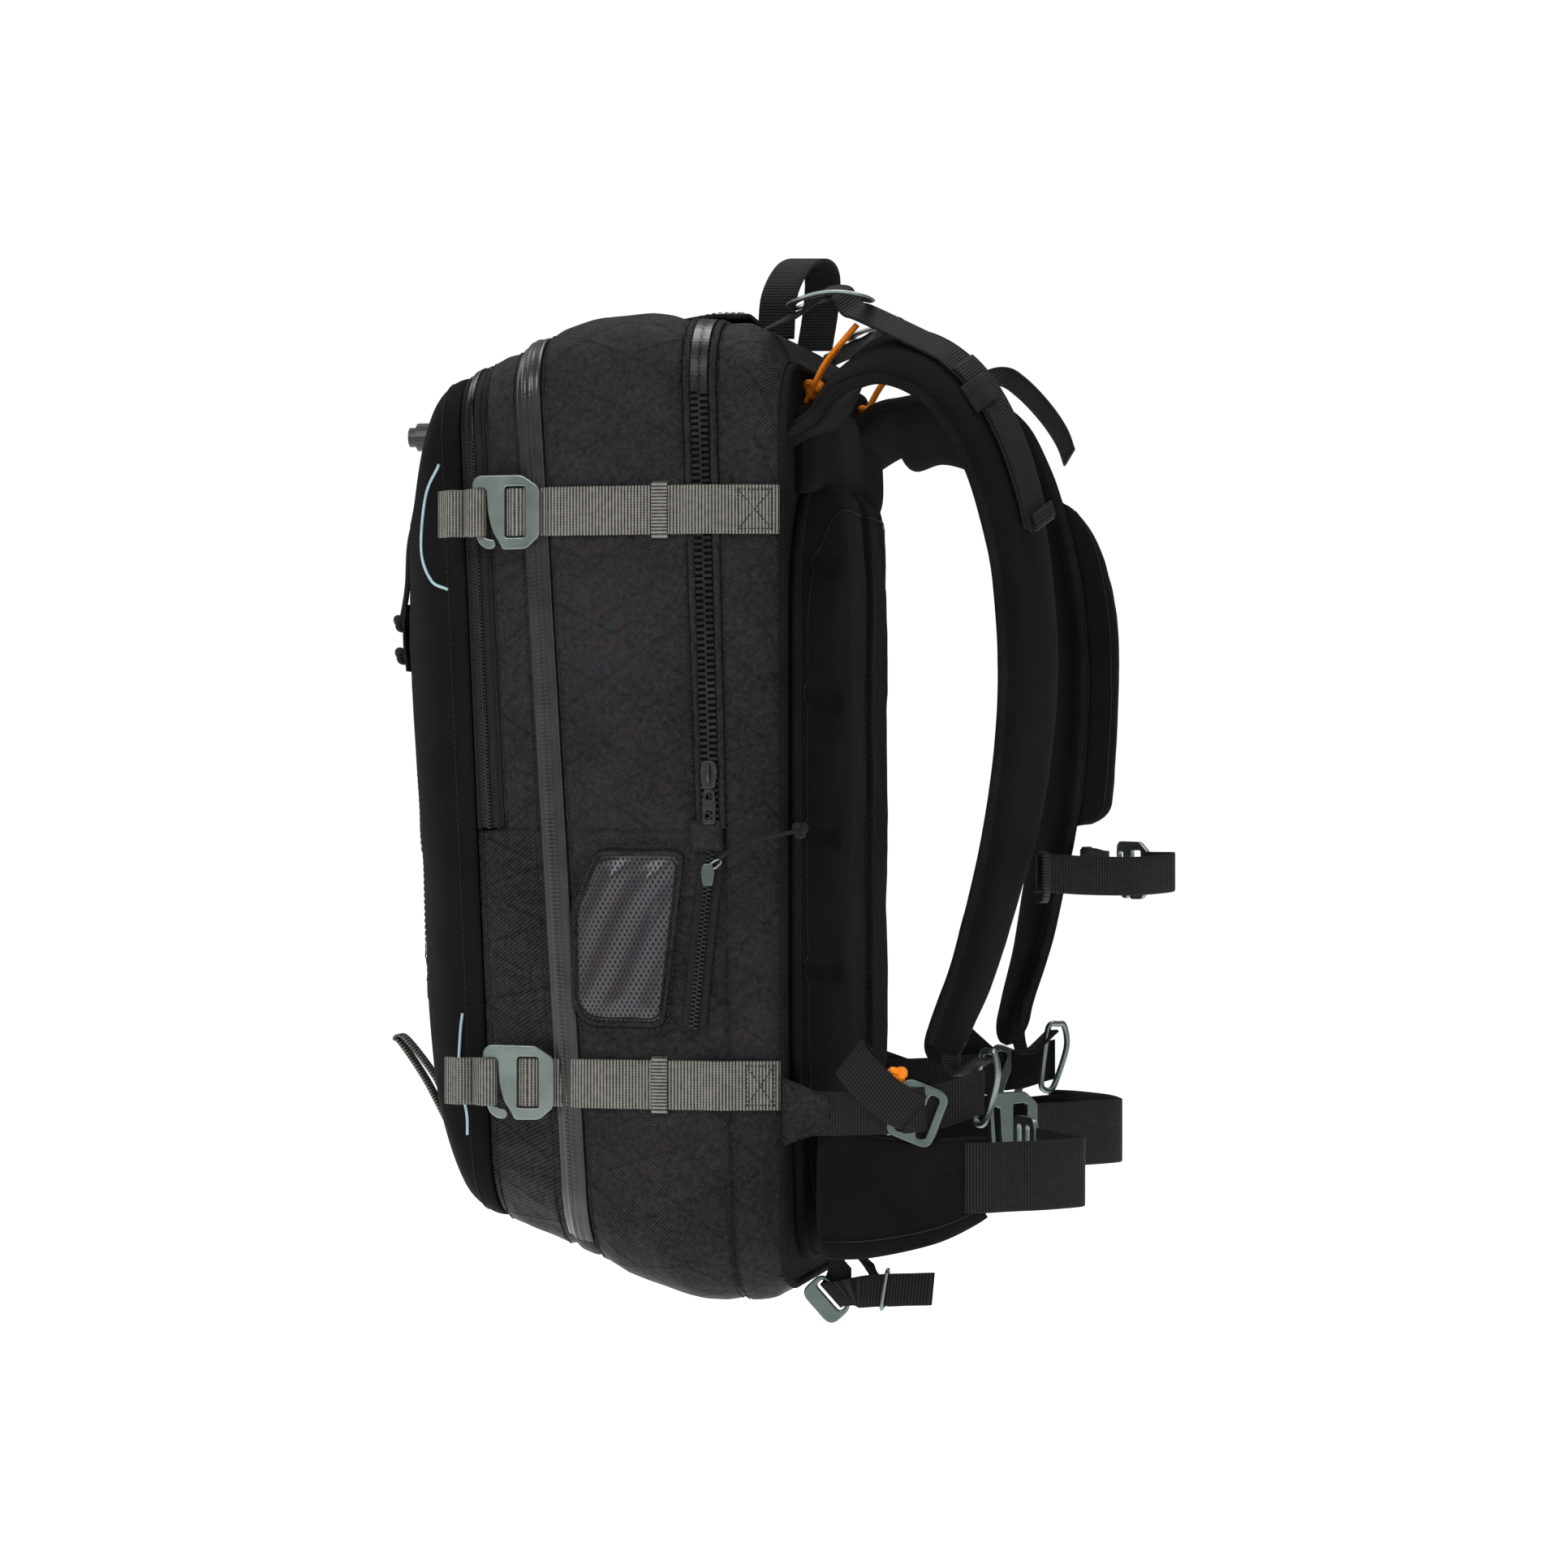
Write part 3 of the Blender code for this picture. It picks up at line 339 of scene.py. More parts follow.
def braided(name, dark, light):
    """Round cord: two sets of strands that cross, with painted shade in the gaps between them."""
    material, tree = new_material(name, Roughness=0.6, Sheen_Weight=0.02, Specular_IOR_Level=0.10)
    plait = maths(tree, "MAXIMUM", lines(tree, 0.0011, 45), lines(tree, 0.0011, -45))
    # Colour: the strands' crests lighter and the gaps between them darker, as painted shade.
    colour = blend_colours(tree, steps(tree, plait, 0.3, 1.0), dark, light)
    return finished(material, colour, [(plait, 0.0002), (speckle(tree, 900, 2), 0.0002)])


def anodised(name, colour, roughness):
    """Blasted and anodised aluminium, rubbed paler in spots."""
    material, tree = new_material(name, Metallic=1.0)
    grain = speckle(tree, 1500, 2)
    wear = speckle(tree, 70, 4)
    tone = steps(tree, maths(tree, "ADD", wear, maths(tree, "MULTIPLY", grain, 0.25)), 0.45, 0.85)
    dark = tuple(c * 0.88 for c in colour)
    light = tuple(min(1.0, c * 1.15) for c in colour)
    return finished(material, blend_colours(tree, tone, dark, light), [(grain, 0.00006)],
                    maths(tree, "MULTIPLY_ADD", wear, 0.18, roughness - 0.09))


def moulded(name, colour, roughness, grain_depth=0.00010):
    """Moulded plastic or rubber with a fine spark-eroded grain and light scuffs."""
    material, tree = new_material(name)
    grain = speckle(tree, 1100, 2)
    scuff = speckle(tree, 55, 5)
    light = tuple(min(1.0, c * 1.6 + 0.004) for c in colour)
    scuffed = blend_colours(tree, steps(tree, scuff, 0.45, 0.85), colour, light)
    return finished(material, scuffed, [(grain, grain_depth)],
                    maths(tree, "MULTIPLY_ADD", scuff, 0.25, roughness - 0.12))


def open_mesh(name):
    """Glossy net: bright threads round rows of holes, half a hole apart from row to row; the holes
    are painted near black, as painted shade behind the net.
    """
    material, tree = new_material(name, Specular_IOR_Level=0.45)
    cell = 0.0023
    first = maths(tree, "MULTIPLY", lines(tree, cell, 30), lines(tree, cell, -30))
    hole = steps(tree, first, 0.35, 0.62)
    hue = steps(tree, speckle(tree, 60, 2), 0.35, 0.65)
    threads = blend_colours(tree, hue, (0.036, 0.031, 0.028), (0.026, 0.031, 0.038))
    # The holes are not cut: they are painted near black, as painted shade behind the net.
    return finished(material, blend_colours(tree, hole, threads, (0.0015, 0.0015, 0.0018)),
                    [(maths(tree, "SUBTRACT", 1.0, hole), 0.0005)],
                    maths(tree, "MULTIPLY_ADD", hole, 0.5, 0.38))


MATERIALS = {
    "side_fabric": laminate("side_laminate", (0.0030, 0.0030, 0.0031), (0.0305, 0.0296, 0.0291),
                            0.52),
    "gusset_fabric": laminate("gusset_laminate", (0.0035, 0.0036, 0.0036),
                              (0.0320, 0.0320, 0.0305), 0.52),
    "front_fabric": knit("softshell", (0.0045, 0.0046, 0.0046), (0.0105, 0.0108, 0.0106), 0.60,
                         0.01, 0.0008, 0.0006),
    "coated_zip": moulded("coated_zip_tape", (0.0130, 0.0140, 0.0138), 0.30, 0.00004),
    "zip_tape": ribbed("woven_zip_tape", (0.0040, 0.0040, 0.0042), (0.0200, 0.0200, 0.0200), 0.6,
                       0.0011),
    "zip_teeth": moulded("moulded_teeth", (0.0070, 0.0072, 0.0072), 0.28, 0.00002),
    "mesh": open_mesh("glossy_net"),
    "back_foam": knit("brushed_foam_cover", (0.0035, 0.0032, 0.0028), (0.0100, 0.0092, 0.0084),
                      0.85, 0.02, 0.0010, 0.0004),
    "strap_fabric": knit("strap_cover", (0.0040, 0.0037, 0.0033), (0.0105, 0.0096, 0.0088), 0.8,
                         0.02, 0.0010, 0.0006),
    "binding": knit("edge_binding", (0.0040, 0.0040, 0.0040), (0.0150, 0.0146, 0.0142), 0.85,
                    0.02, 0.0014, 0.0004),
    "black_webbing": ribbed("black_webbing", (0.0025, 0.0025, 0.0026), (0.0190, 0.0188, 0.0182),
                            0.60),
    "grey_webbing": ribbed("grey_webbing", (0.010, 0.009, 0.008), (0.225, 0.218, 0.196), 0.62,
                           0.0017),
    "piping": moulded("reflective_piping", (0.30, 0.42, 0.46), 0.35, 0.00004),
    "anodised_metal": anodised("anodised_plate", (0.190, 0.225, 0.210), 0.42),
    "dark_metal": anodised("dark_anodised_plate", (0.110, 0.140, 0.132), 0.36),
    "steel_wire": anodised("wire_metal", (0.180, 0.215, 0.205), 0.34),
    "black_plastic": moulded("black_plastic", (0.0055, 0.0056, 0.0056), 0.40),
    "frame_plastic": moulded("frame_sheet_plastic", (0.030, 0.030, 0.031), 0.5),
    "trigger_orange": moulded("orange_plastic", (0.75, 0.14, 0.015), 0.45),
    "orange_cord": braided("orange_cord", (0.85, 0.15, 0.008), (1.00, 0.33, 0.020)),
    "black_cord": braided("black_cord", (0.0030, 0.0030, 0.0030), (0.0160, 0.0160, 0.0155)),
    "airbag_fabric": laminate("airbag_nylon", (0.50, 0.07, 0.01), (0.80, 0.14, 0.02), 0.55),
    "lining": knit("lining", (0.045, 0.047, 0.049), (0.080, 0.083, 0.086), 0.8, 0.05),
    "capacitor_sleeve": moulded("shrink_sleeve", (0.015, 0.045, 0.11), 0.3, 0.00003),
}


# ---- building meshes
def link(obj, material, body, nodes=()):
    if obj.name not in bpy.context.scene.collection.all_objects:
        bpy.context.scene.collection.objects.link(obj)
    obj.data.materials.append(MATERIALS[material])
    if isinstance(body, str):
        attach(obj, body)
    else:
        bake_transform(obj)
    if nodes:
        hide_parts(*nodes)
    return obj


def mesh_from(name, points, faces, uvs=None, smooth=True):
    """A mesh object; uvs is one pair for each face corner, in the faces' order."""
    mesh = bpy.data.meshes.new(name)
    mesh.from_pydata(np.asarray(points, float).tolist(), [], [list(map(int, f)) for f in faces])
    if uvs is not None:
        layer = mesh.uv_layers.new(name="UVMap")
        layer.data.foreach_set("uv", np.asarray(uvs, np.float32).ravel())
    if smooth:
        mesh.shade_smooth()
    mesh.update()
    return bpy.data.objects.new(name, mesh)


def grid_uv(points, wrap):
    """Metres along the rows and the columns of a grid, one column more if it wraps round."""
    closed = np.concatenate([points, points[:, :1]], 1) if wrap else points
    middle = closed[len(closed) // 2]
    v = length_along(middle)
    u = length_along(closed[:, closed.shape[1] // 3])
    return np.stack(np.meshgrid(u, v, indexing="ij"), -1)


def grid(name, points, wrap=False, thickness=0.0, caps=False, offset=-1.0, hole=None):
    """A surface through a rows x columns array of points; hole says which points to leave out."""
    rows, cols = points.shape[:2]
    index = np.arange(rows * cols).reshape(rows, cols)
    if wrap:
        index = np.hstack([index, index[:, :1]])
    uv = grid_uv(points, wrap)
    quads = np.stack([index[:-1, :-1], index[1:, :-1], index[1:, 1:], index[:-1, 1:]], -1)
    corners = np.stack([uv[:-1, :-1], uv[1:, :-1], uv[1:, 1:], uv[:-1, 1:]], 2)
    quads, corners = quads.reshape(-1, 4), corners.reshape(-1, 4, 2)
    if hole is not None:
        kept = ~hole.ravel()[quads].all(1)
        quads, corners = quads[kept], corners[kept]
    faces = [list(q) for q in quads]
    flat = corners.reshape(-1, 2)
    if caps:
        faces += [list(index[0, :cols]), list(index[-1, :cols][::-1])]
        flat = np.vstack([flat, uv[0, :cols], uv[-1, :cols][::-1]])
    obj = mesh_from(name, points.reshape(-1, 3), faces, flat)
    if thickness:
        solidify = obj.modifiers.new("thickness", "SOLIDIFY")
        solidify.thickness = thickness
        solidify.offset = offset
    return obj


def skin(name, points, material, body, nodes=(), **shape):
    """A grid as a finished piece."""
    return link(grid(name, points, **shape), material, body, nodes)


def grid_normals(points, wrap, outward):
    """Unit normals of a grid, turned to face away from the point or along the vector given."""
    if wrap:
        across = np.roll(points, -1, 1) - np.roll(points, 1, 1)
    else:
        across = np.gradient(points, axis=1)
    along = np.gradient(points, axis=0)
    normals = unit(np.cross(across, along))
    facing = (normals * (points - np.array(outward))).sum()
    return normals if facing > 0 else -normals


def scatter(name, template, faces, origins, axes):
    """Copies of a small shape as one mesh: axes holds each copy's three axes as rows."""
    template = np.array(template, float)
    points = origins[:, None, :] + np.einsum("vk,nkd->nvd", template, axes)
    count = len(template)
    all_faces = [[i + k * count for i in face] for k in range(len(origins)) for face in faces]
    return mesh_from(name, points.reshape(-1, 3), all_faces, smooth=False)


TAPER = 0.72  # of a block's top


def raised_block(width, length, height):
    """A low block with bevelled top edges: x along, y across and z up from its base."""
    x, y = length / 2, width / 2
    rings = [(x, y, 0.0), (x, y, height * 0.62), (x * TAPER, y * (TAPER + 1) / 2, height)]
    points = [(sx * a, sy * b, z) for a, b, z in rings
              for sx, sy in ((-1, -1), (1, -1), (1, 1), (-1, 1))]
    faces = [(8, 9, 10, 11), (3, 2, 1, 0)]
    for low in (0, 4):
        for i in range(4):
            j = (i + 1) % 4
            faces.append((low + i, low + j, low + 4 + j, low + 4 + i))
    return points, faces


STITCH_WIDTH, STITCH_HEIGHT, STITCH_SHARE = 0.00055, 0.00042, 0.66  # share of the pitch


def frames_along(path, normals, pitch):
    """Places every pitch metres along a path, with the axes along, across and out."""
    data = resample(np.hstack([path, np.broadcast_to(normals, np.shape(path))]), pitch)
    spots, out = data[:, :3], unit(data[:, 3:])
    forward = heading(spots)
    return spots, np.stack([forward, unit(np.cross(out, forward)), out], 1)


def stitches(name, path, normals, body, pitch=0.0034, lift=0.0001):
    """A row of stitches lying on the cloth."""
    spots, axes = frames_along(path, normals, pitch)
    block, faces = raised_block(STITCH_WIDTH, pitch * STITCH_SHARE, STITCH_HEIGHT)
    link(scatter(name, block, faces, spots + axes[:, 2] * lift, axes), "black_cord", body)


def zip_teeth(name, path, normals, body, pitch, width, height, tooth):
    """Two rows of teeth that interlock along a zip's middle line."""
    spots, axes = frames_along(path, normals, pitch / 2)
    side = np.where(np.arange(len(spots)) % 2, 1.0, -1.0)[:, None]
    origins = spots + axes[:, 1] * side * width * 0.22
    block, faces = raised_block(width * 0.62, tooth, height)
    link(scatter(name, block, faces, origins, axes), "zip_teeth", body)


def strip(name, path, halves, thickness, material, body, nodes=(), pitch=0.0015):
    """Flat webbing along a path, rounded at its edges; halves points from middle to edge."""
    halves = np.broadcast_to(np.array(halves, float), path.shape)
    data = resample(np.hstack([path, halves]), pitch)
    middle, half = data[:, :3], data[:, 3:]
    out = unit(np.cross(heading(middle), half))
    profile = [(-1.0, 0.0), (-0.985, 0.75), (-0.93, 1.0), (-0.4, 1.0), (0.4, 1.0), (0.93, 1.0),
               (0.985, 0.75), (1.0, 0.0)]
    profile += [(a, -b) for a, b in profile[-2:0:-1]]
    points = np.stack([middle + half * a + out * (b * thickness / 2) for a, b in profile], 1)
    skin(name, points, material, body, nodes, wrap=True, caps=True)


def tape_normals(centre, half):
    return unit(np.cross(half, heading(centre)))


def swept(centre, half, profile):
    """Rows along a path; each row holds the profile's (share across, height) points."""
    out = tape_normals(centre, half)
    return np.stack([centre + half * a + out * b for a, b in profile], 1)


def tube_points(path, radius, closed=False, sides=10):
    """Rings round a path, turned so that they don't twist."""
    if closed:
        tangents = unit(np.roll(path, -1, 0) - np.roll(path, 1, 0))
    else:
        tangents = heading(path)
    normal = unit(np.cross(tangents[0], (0.21, 0.35, 0.91)))
    radius = np.broadcast_to(radius, len(path))
    rings = []
    for point, tangent, size in zip(path, tangents, radius):
        normal = unit(normal - tangent * np.dot(normal, tangent))
        side = np.cross(tangent, normal)
        angles = np.arange(sides) * 2 * math.pi / sides
        rings.append(point + size * (np.outer(np.cos(angles), normal)
                                     + np.outer(np.sin(angles), side)))
    if closed:
        rings.append(rings[0])
    return np.array(rings)


def tube(name, path, radius, material, body, nodes=(), closed=False, sides=10):
    """A round cord, wire or piping along a path."""
    path = np.array(path, float)
    rings = tube_points(path, radius, closed, sides)
    return skin(name, rings, material, body, nodes, wrap=True, caps=not closed)


def cord(name, points, radius, body, material="black_cord"):
    """A free cord: a tube along a smooth curve."""
    path = smooth_path(points)
    obj = tube(name, path, radius, material, body)


def knot(name, centre, size, body, material):
    """An overhand knot as one pulled-up trefoil."""
    turn = np.linspace(0, 2 * math.pi, 64, endpoint=False)
    trefoil = np.stack([np.sin(turn) + 2 * np.sin(2 * turn), -np.sin(3 * turn) * 1.3,
                        np.cos(turn) - 2 * np.cos(2 * turn)], -1)
    path = np.array(centre) + trefoil * size * 0.22
    return tube(name, path, size * 0.36, material, body, closed=True)


def fillet(outline, radius, steps=5):
    """Rounds a polygon's corners; radius is the most that each may have."""
    points = [Vector(p) for p in outline]
    rounded_outline = []
    for before, corner, after in zip(points[-1:] + points[:-1], points, points[1:] + points[:1]):
        cut = min(radius, (before - corner).length * 0.45, (after - corner).length * 0.45)
        start = corner + (before - corner).normalized() * cut
        end = corner + (after - corner).normalized() * cut
        for k in range(steps + 1):
            t = k / steps
            point = start * (1 - t) ** 2 + corner * 2 * t * (1 - t) + end * t * t
            rounded_outline.append((point.x, point.y))
    return rounded_outline


def rectangle(width, height, centre=(0.0, 0.0)):
    x, y = centre
    return [(x + sx * width / 2, y + sy * height / 2)
            for sx, sy in ((1, 1), (-1, 1), (-1, -1), (1, -1))]


def axes_matrix(x_axis, y_axis, location):
    x_axis, y_axis = Vector(x_axis).normalized(), Vector(y_axis).normalized()
    matrix = Matrix((x_axis, y_axis, x_axis.cross(y_axis))).transposed().to_4x4()
    matrix.translation = Vector(location)
    return matrix


def plate(name, outlines, thickness, material, matrix, body, nodes=(), radius=0.0012,
          bevel=0.0005):
    """A flat plate with rounded edges: the first outline is its edge, the others are holes."""
    curve = bpy.data.curves.new(name, "CURVE")
    curve.dimensions = "2D"
    curve.fill_mode = "BOTH"
    curve.extrude = thickness / 2 - bevel
    curve.bevel_depth = bevel
    curve.bevel_resolution = 3
    curve.offset = -bevel
    for k, outline in enumerate(outlines):
        points = fillet(outline, radius if k == 0 else radius * 0.7)
        spline = curve.splines.new("POLY")
        spline.points.add(len(points) - 1)
        for point, (x, y) in zip(spline.points, points):
            point.co = (x, y, 0, 1)
        spline.use_cyclic_u = True
    flat = bpy.data.objects.new(name + "_outline", curve)
    bpy.context.scene.collection.objects.link(flat)
    flat.matrix_world = matrix
    bpy.context.view_layer.update()
    mesh = bpy.data.meshes.new_from_object(
        flat.evaluated_get(bpy.context.evaluated_depsgraph_get()))
    mesh.transform(flat.matrix_world)
    mesh.name = name
    bpy.data.objects.remove(flat)
    obj = bpy.data.objects.new(name, mesh)
    mesh.shade_smooth()
    mesh.set_sharp_from_angle(angle=math.radians(40))
    link(obj, material, body, nodes)


# ---- the bag's outline
def run(start, end, count):
    share = np.arange(count)[:, None] / count
    return np.array(start) * (1 - share) + np.array(end) * share


def section(station):
    """The bag's outline at a seam station, from the right side's zip end up, over and round."""
    lean = line_at(LEAN_LINE, station)
    half = line_at(HALF_WIDTH_LINE, station)
    top = line_at(TOP_LINE, station)
    bottom = line_at(BOTTOM_LINE, station + lean * (LEAN_TOP + 0.24))
    radius = min(CORNER_RADIUS, half * 0.5)

    def corner(side, height, quarter):
        angle = math.pi - math.pi / 2 * (quarter + np.arange(CORNER_STEPS) / CORNER_STEPS)
        return np.stack([side * (half - radius) + radius * np.cos(angle),
                         height + radius * np.sin(angle)], -1)

    flat = half - radius
    loop = np.vstack([
        run((-half, ZIP_END_Z), (-half, top - radius), WALL_STEPS), corner(-1, top - radius, 0),
        run((-flat, top), (flat, top), FLAT_STEPS), corner(1, top - radius, 1),
        run((half, top - radius), (half, ZIP_END_Z), WALL_STEPS),
        run((half, ZIP_END_Z), (half, bottom + radius), WALL_STEPS),
        corner(1, bottom + radius, 2), run((flat, bottom), (-flat, bottom), FLAT_STEPS),
        corner(-1, bottom + radius, 3),
        run((-half, bottom + radius), (-half, ZIP_END_Z), WALL_STEPS),
    ])
    y, z = loop[:, 0], loop[:, 1]
    return np.stack([station + lean * (LEAN_TOP - z), y, z], -1)


def dense(start, end, count):
    """Stations from start to end, closer together near both."""
    share = np.linspace(0, 1, count)
    return start + (end - start) * (share - np.sin(2 * math.pi * share) / (2 * math.pi) * 0.85)


def on_side(station, z, side, lift):
    """A point over the bag's side wall: on a seam station at height z, lift off the cloth."""
    x = station + line_at(LEAN_LINE, station) * (LEAN_TOP - z)
    return np.array((x, side * (line_at(HALF_WIDTH_LINE, station) + lift), z))


def station_at(x, z):
    station = x
    for _ in range(12):
        station = x - line_at(LEAN_LINE, station) * (LEAN_TOP - z)
    return station


def side_patch(x, z, side, lift):
    return on_side(station_at(x, z), z, side, lift)


def smoothstep(value):
    value = np.clip(value, 0, 1)
    return value * value * (3 - 2 * value)


def slack(points, normals):
    """0 where webbing presses the side walls flat, and 1 away from it."""
    free = np.ones(points.shape[:-1])
    on_wall = smoothstep((np.abs(normals[..., 1]) - 0.4) / 0.3)
    for level in STRAP_LEVELS.values():
        away = smoothstep((np.abs(points[..., 2] - level) - SKI_WEB_HALF - 0.002) / 0.022)
        free = np.minimum(free, 1 - on_wall * (1 - away))
    middle_x, middle_z = NET_ZONE[0]
    half_x, half_z = NET_ZONE[1]
    outside = np.maximum(np.abs(points[..., 0] - middle_x) - half_x,
                         np.abs(points[..., 2] - middle_z) - half_z)
    near_side = points[..., 1] < 0
    return np.where(near_side, np.minimum(free, smoothstep(outside / 0.015)), free)


def dressed_cloth(points, swell, fold, seed, scale):
    """Points of a sewn panel: swollen between its seams, folded, and pulled in at each seam."""
    normals = grid_normals(points, True, BAG_MIDDLE)
    u, v = np.moveaxis(grid_uv(points, True)[:, :points.shape[1]], -1, 0)
    edge = np.minimum(u, u[-1:] - u)
    body = swell * np.sin(np.clip(edge / 0.028, 0, 1) * math.pi / 2)
    folds = fold * creases(u, v, *scale, seed) * smoothstep(edge / 0.012)
    puckers = 0.00025 * np.cos(v * 2 * math.pi / 0.011 + noise(points * 60, seed) * 2)
    puckers = puckers * np.exp(-((edge - 0.004) / 0.003) ** 2)
    groove = -0.0012 * np.exp(-(edge / 0.0020) ** 2)
    lift = (body + folds) * slack(points, normals) + puckers + groove
    return points + normals * lift[..., None], normals


def panel(name, stations, body, material, nodes, seed, fold, below=None, swell=0.0018,
          scale=(14, 11)):
    """One sewn panel of the bag between two seams, with its lining and its seam stitches.

    Below the side zips' ends its seams lie at other stations, if below gives them.
    """
    points = np.array([section(s) for s in stations])
    if below is not None:
        points[:, ARCH_END + 1:] = np.array([section(s) for s in below])[:, ARCH_END + 1:]
    points, normals = dressed_cloth(points, swell, fold, seed, scale)
    hole = inside(WINDOW, points[..., 0], points[..., 2]) & (points[..., 1] < -0.12)
    line_inside(skin(name, points, material, body, nodes, wrap=True, thickness=SHELL, hole=hole))
    edge = length_along(points[:, WALL_STEPS // 2])
    for label, target in (("front", 0.0026), ("rear", edge[-1] - 0.0026)):
        row = int(np.argmin(np.abs(edge - target)))
        stitches(f"{name}_{label}_stitches", points[row], normals[row], body)


def line_inside(obj):
    """Gives a shell's inner face the lining's look."""
    obj.modifiers["thickness"].material_offset = 1
    obj.data.materials.append(MATERIALS["lining"])


def inside(polygon, x, z):
    result = np.zeros(np.shape(x), bool)
    for (x0, z0), (x1, z1) in zip(polygon, polygon[1:] + polygon[:1]):
        crosses = (z0 > z) != (z1 > z)
        with np.errstate(divide="ignore", invalid="ignore"):
            result ^= crosses & (x < x0 + (z - z0) / (z1 - z0) * (x1 - x0))
    return result


def make_panels():
    panel("gusset_cloth", dense(FRONT_ZIP[1], GUSSET_REAR, 22), "lid", "gusset_fabric",
          ["tool_pocket_gusset"], 21, 0.0016, dense(FRONT_ZIP[0], GUSSET_REAR, 22),
          scale=(12, 42))
    panel("side_cloth", dense(SIDE_PANEL_FRONT, AIRBAG_ZIP[0] - 0.0004, 44), "pack",
          "side_fabric", ["main_side_panel"], 7, 0.0032,
          dense(SIDE_PANEL_FRONT, AIRBAG_ZIP[1], 44), 0.0028)
    panel("rear_gusset_cloth", dense(*REAR_GUSSET, 26), "pack", "side_fabric", ["rear_gusset"],
          13, 0.0016, swell=0.0014)


def make_front():
    """The domed front pocket panel with two long shaping seams."""
    rim = section(FRONT_SEAM)
    corner = WALL_STEPS + CORNER_STEPS
    middle_z = (rim[corner, 2] + rim[ARCH_END + corner, 2]) / 2
    shares = np.sin(np.linspace(1, 0.0008, 46) * math.pi / 2)
    points = []
    for share in shares:
        y = rim[:, 1] * share
        z = middle_z + (rim[:, 2] - middle_z) * share
        x = FRONT_SEAM + line_at(LEAN_LINE, FRONT_SEAM) * (LEAN_TOP - z)
        x = x - FRONT_BULGE * max(0.0, 1 - share * share) ** 0.47
        points.append(np.stack([x, y, z], -1))
    points = np.array(points)
    normals = grid_normals(points, True, BAG_MIDDLE)
    y, z = points[..., 1], points[..., 2]
    share = np.broadcast_to(shares[:, None], y.shape)
    away = smoothstep((1 - share) / 0.06)
    dents = 0.0030 * creases(y, z, 9, 7, 31) * away * smoothstep(share / 0.15)
    seam_y = 0.058 - 0.010 * np.cos(z * 9)
    seams = -0.0011 * np.exp(-((np.abs(y) - seam_y) / 0.0022) ** 2) * away
    points = points + normals * (dents + seams)[..., None]
    line_inside(skin("front_cloth", points[:, ::-1], "front_fabric", "lid", ["front_panel"],
                     wrap=True, thickness=SHELL))
    stitches("front_rim_stitches", points[5], normals[5], "lid")
    for side in (-1, 1):
        heights = np.linspace(-0.17, 0.165, 160)
        for offset, label in ((-0.0035, "inner"), (0.0035, "outer")):
            across = side * (0.058 - 0.010 * np.cos(heights * 9) + offset)
            path, out = front_points(points, normals, across, heights)
            name = "right" if side < 0 else "left"
            stitches(f"front_seam_{name}_{label}_stitches", path, out, "lid")
    return points, normals


def front_points(points, normals, across, heights):
    """Points and normals on the front panel nearest to the given y and z."""
    flat, out = points.reshape(-1, 3), normals.reshape(-1, 3)
    near = [int(np.argmin((flat[:, 1] - y) ** 2 + (flat[:, 2] - z) ** 2))
            for y, z in zip(across, heights)]
    path = flat[near].copy()
    path[:, 1], path[:, 2] = across, heights
    return path, out[near]


# ---- zips
ARCH = slice(0, ARCH_END + 1)


def zip_line(stations, part, pitch):
    """Middle line of a zip and the vectors from it to its rear edge."""
    front, rear = section(stations[0])[part], section(stations[1])[part]
    data = resample(np.hstack([(front + rear) / 2, (rear - front) / 2]), pitch)
    return data[:, :3], data[:, 3:]


RIB_PITCH = 0.0021


def zip_tape(name, centre, half, profile, material, body, nodes, ribs=0.0, offset=1.0):
    """A zip's cloth; offset is the side of its surface, 1 or -1, that its thickness lies on."""
    points = swept(centre, half, profile)
    if ribs:
        along = length_along(centre)[:, None]
        across = np.array([a for a, _ in profile])[None, :]
        relief = ribs * np.cos(along * 2 * math.pi / RIB_PITCH) * np.exp(-(across / 0.30) ** 2)
        points = points + tape_normals(centre, half)[:, None, :] * relief[..., None]
    skin(name, points, material, body, nodes, thickness=TAPE, offset=offset)


ZIP_GARAGE = ((-0.0685, -0.0180), (-0.0510, -0.0180), (-0.0500, -0.0345), (-0.0670, -0.0345))


def make_airbag_zip():
    """Large moulded teeth on a twill tape, between two rolled edges with their stitches."""
    centre, half = zip_line(AIRBAG_ZIP, ARCH, 0.0020)
    profile = [(a, 0.0003 - 0.0010 * abs(a) ** 3) for a in np.linspace(-1, 1, 15)]
    zip_tape("airbag_zip_cloth", centre, half, profile, "zip_tape", "pack", ["airbag_zip_tape"])
    out = tape_normals(centre, half)
    zip_teeth("airbag_zip_teeth", centre + out * 0.0003, out, "pack", 0.0032, 0.0088, 0.0021,
              0.0021)
    for label, share in (("front", -0.92), ("rear", 0.92)):
        edge = centre + half * share + out * 0.0002
        wave = 0.00012 * np.cos(length_along(edge) * 2 * math.pi / 0.0042)
        tube(f"airbag_zip_roll_{label}", edge + out * wave[:, None], 0.0021, "gusset_fabric",
             "pack", sides=12)
        inward = np.sign(share) * -0.0002
        stitches(f"airbag_zip_{label}_stitches", edge + out * 0.0019 + half * inward, out, "pack",
                 pitch=0.0042, lift=0.0)
    for label, side in SIDES.items():
        corners = [side_patch(x, z, side, 0.0016) for x, z in ZIP_GARAGE]
        patch(f"zip_garage_{label}", corners, "gusset_fabric", 0.0007)


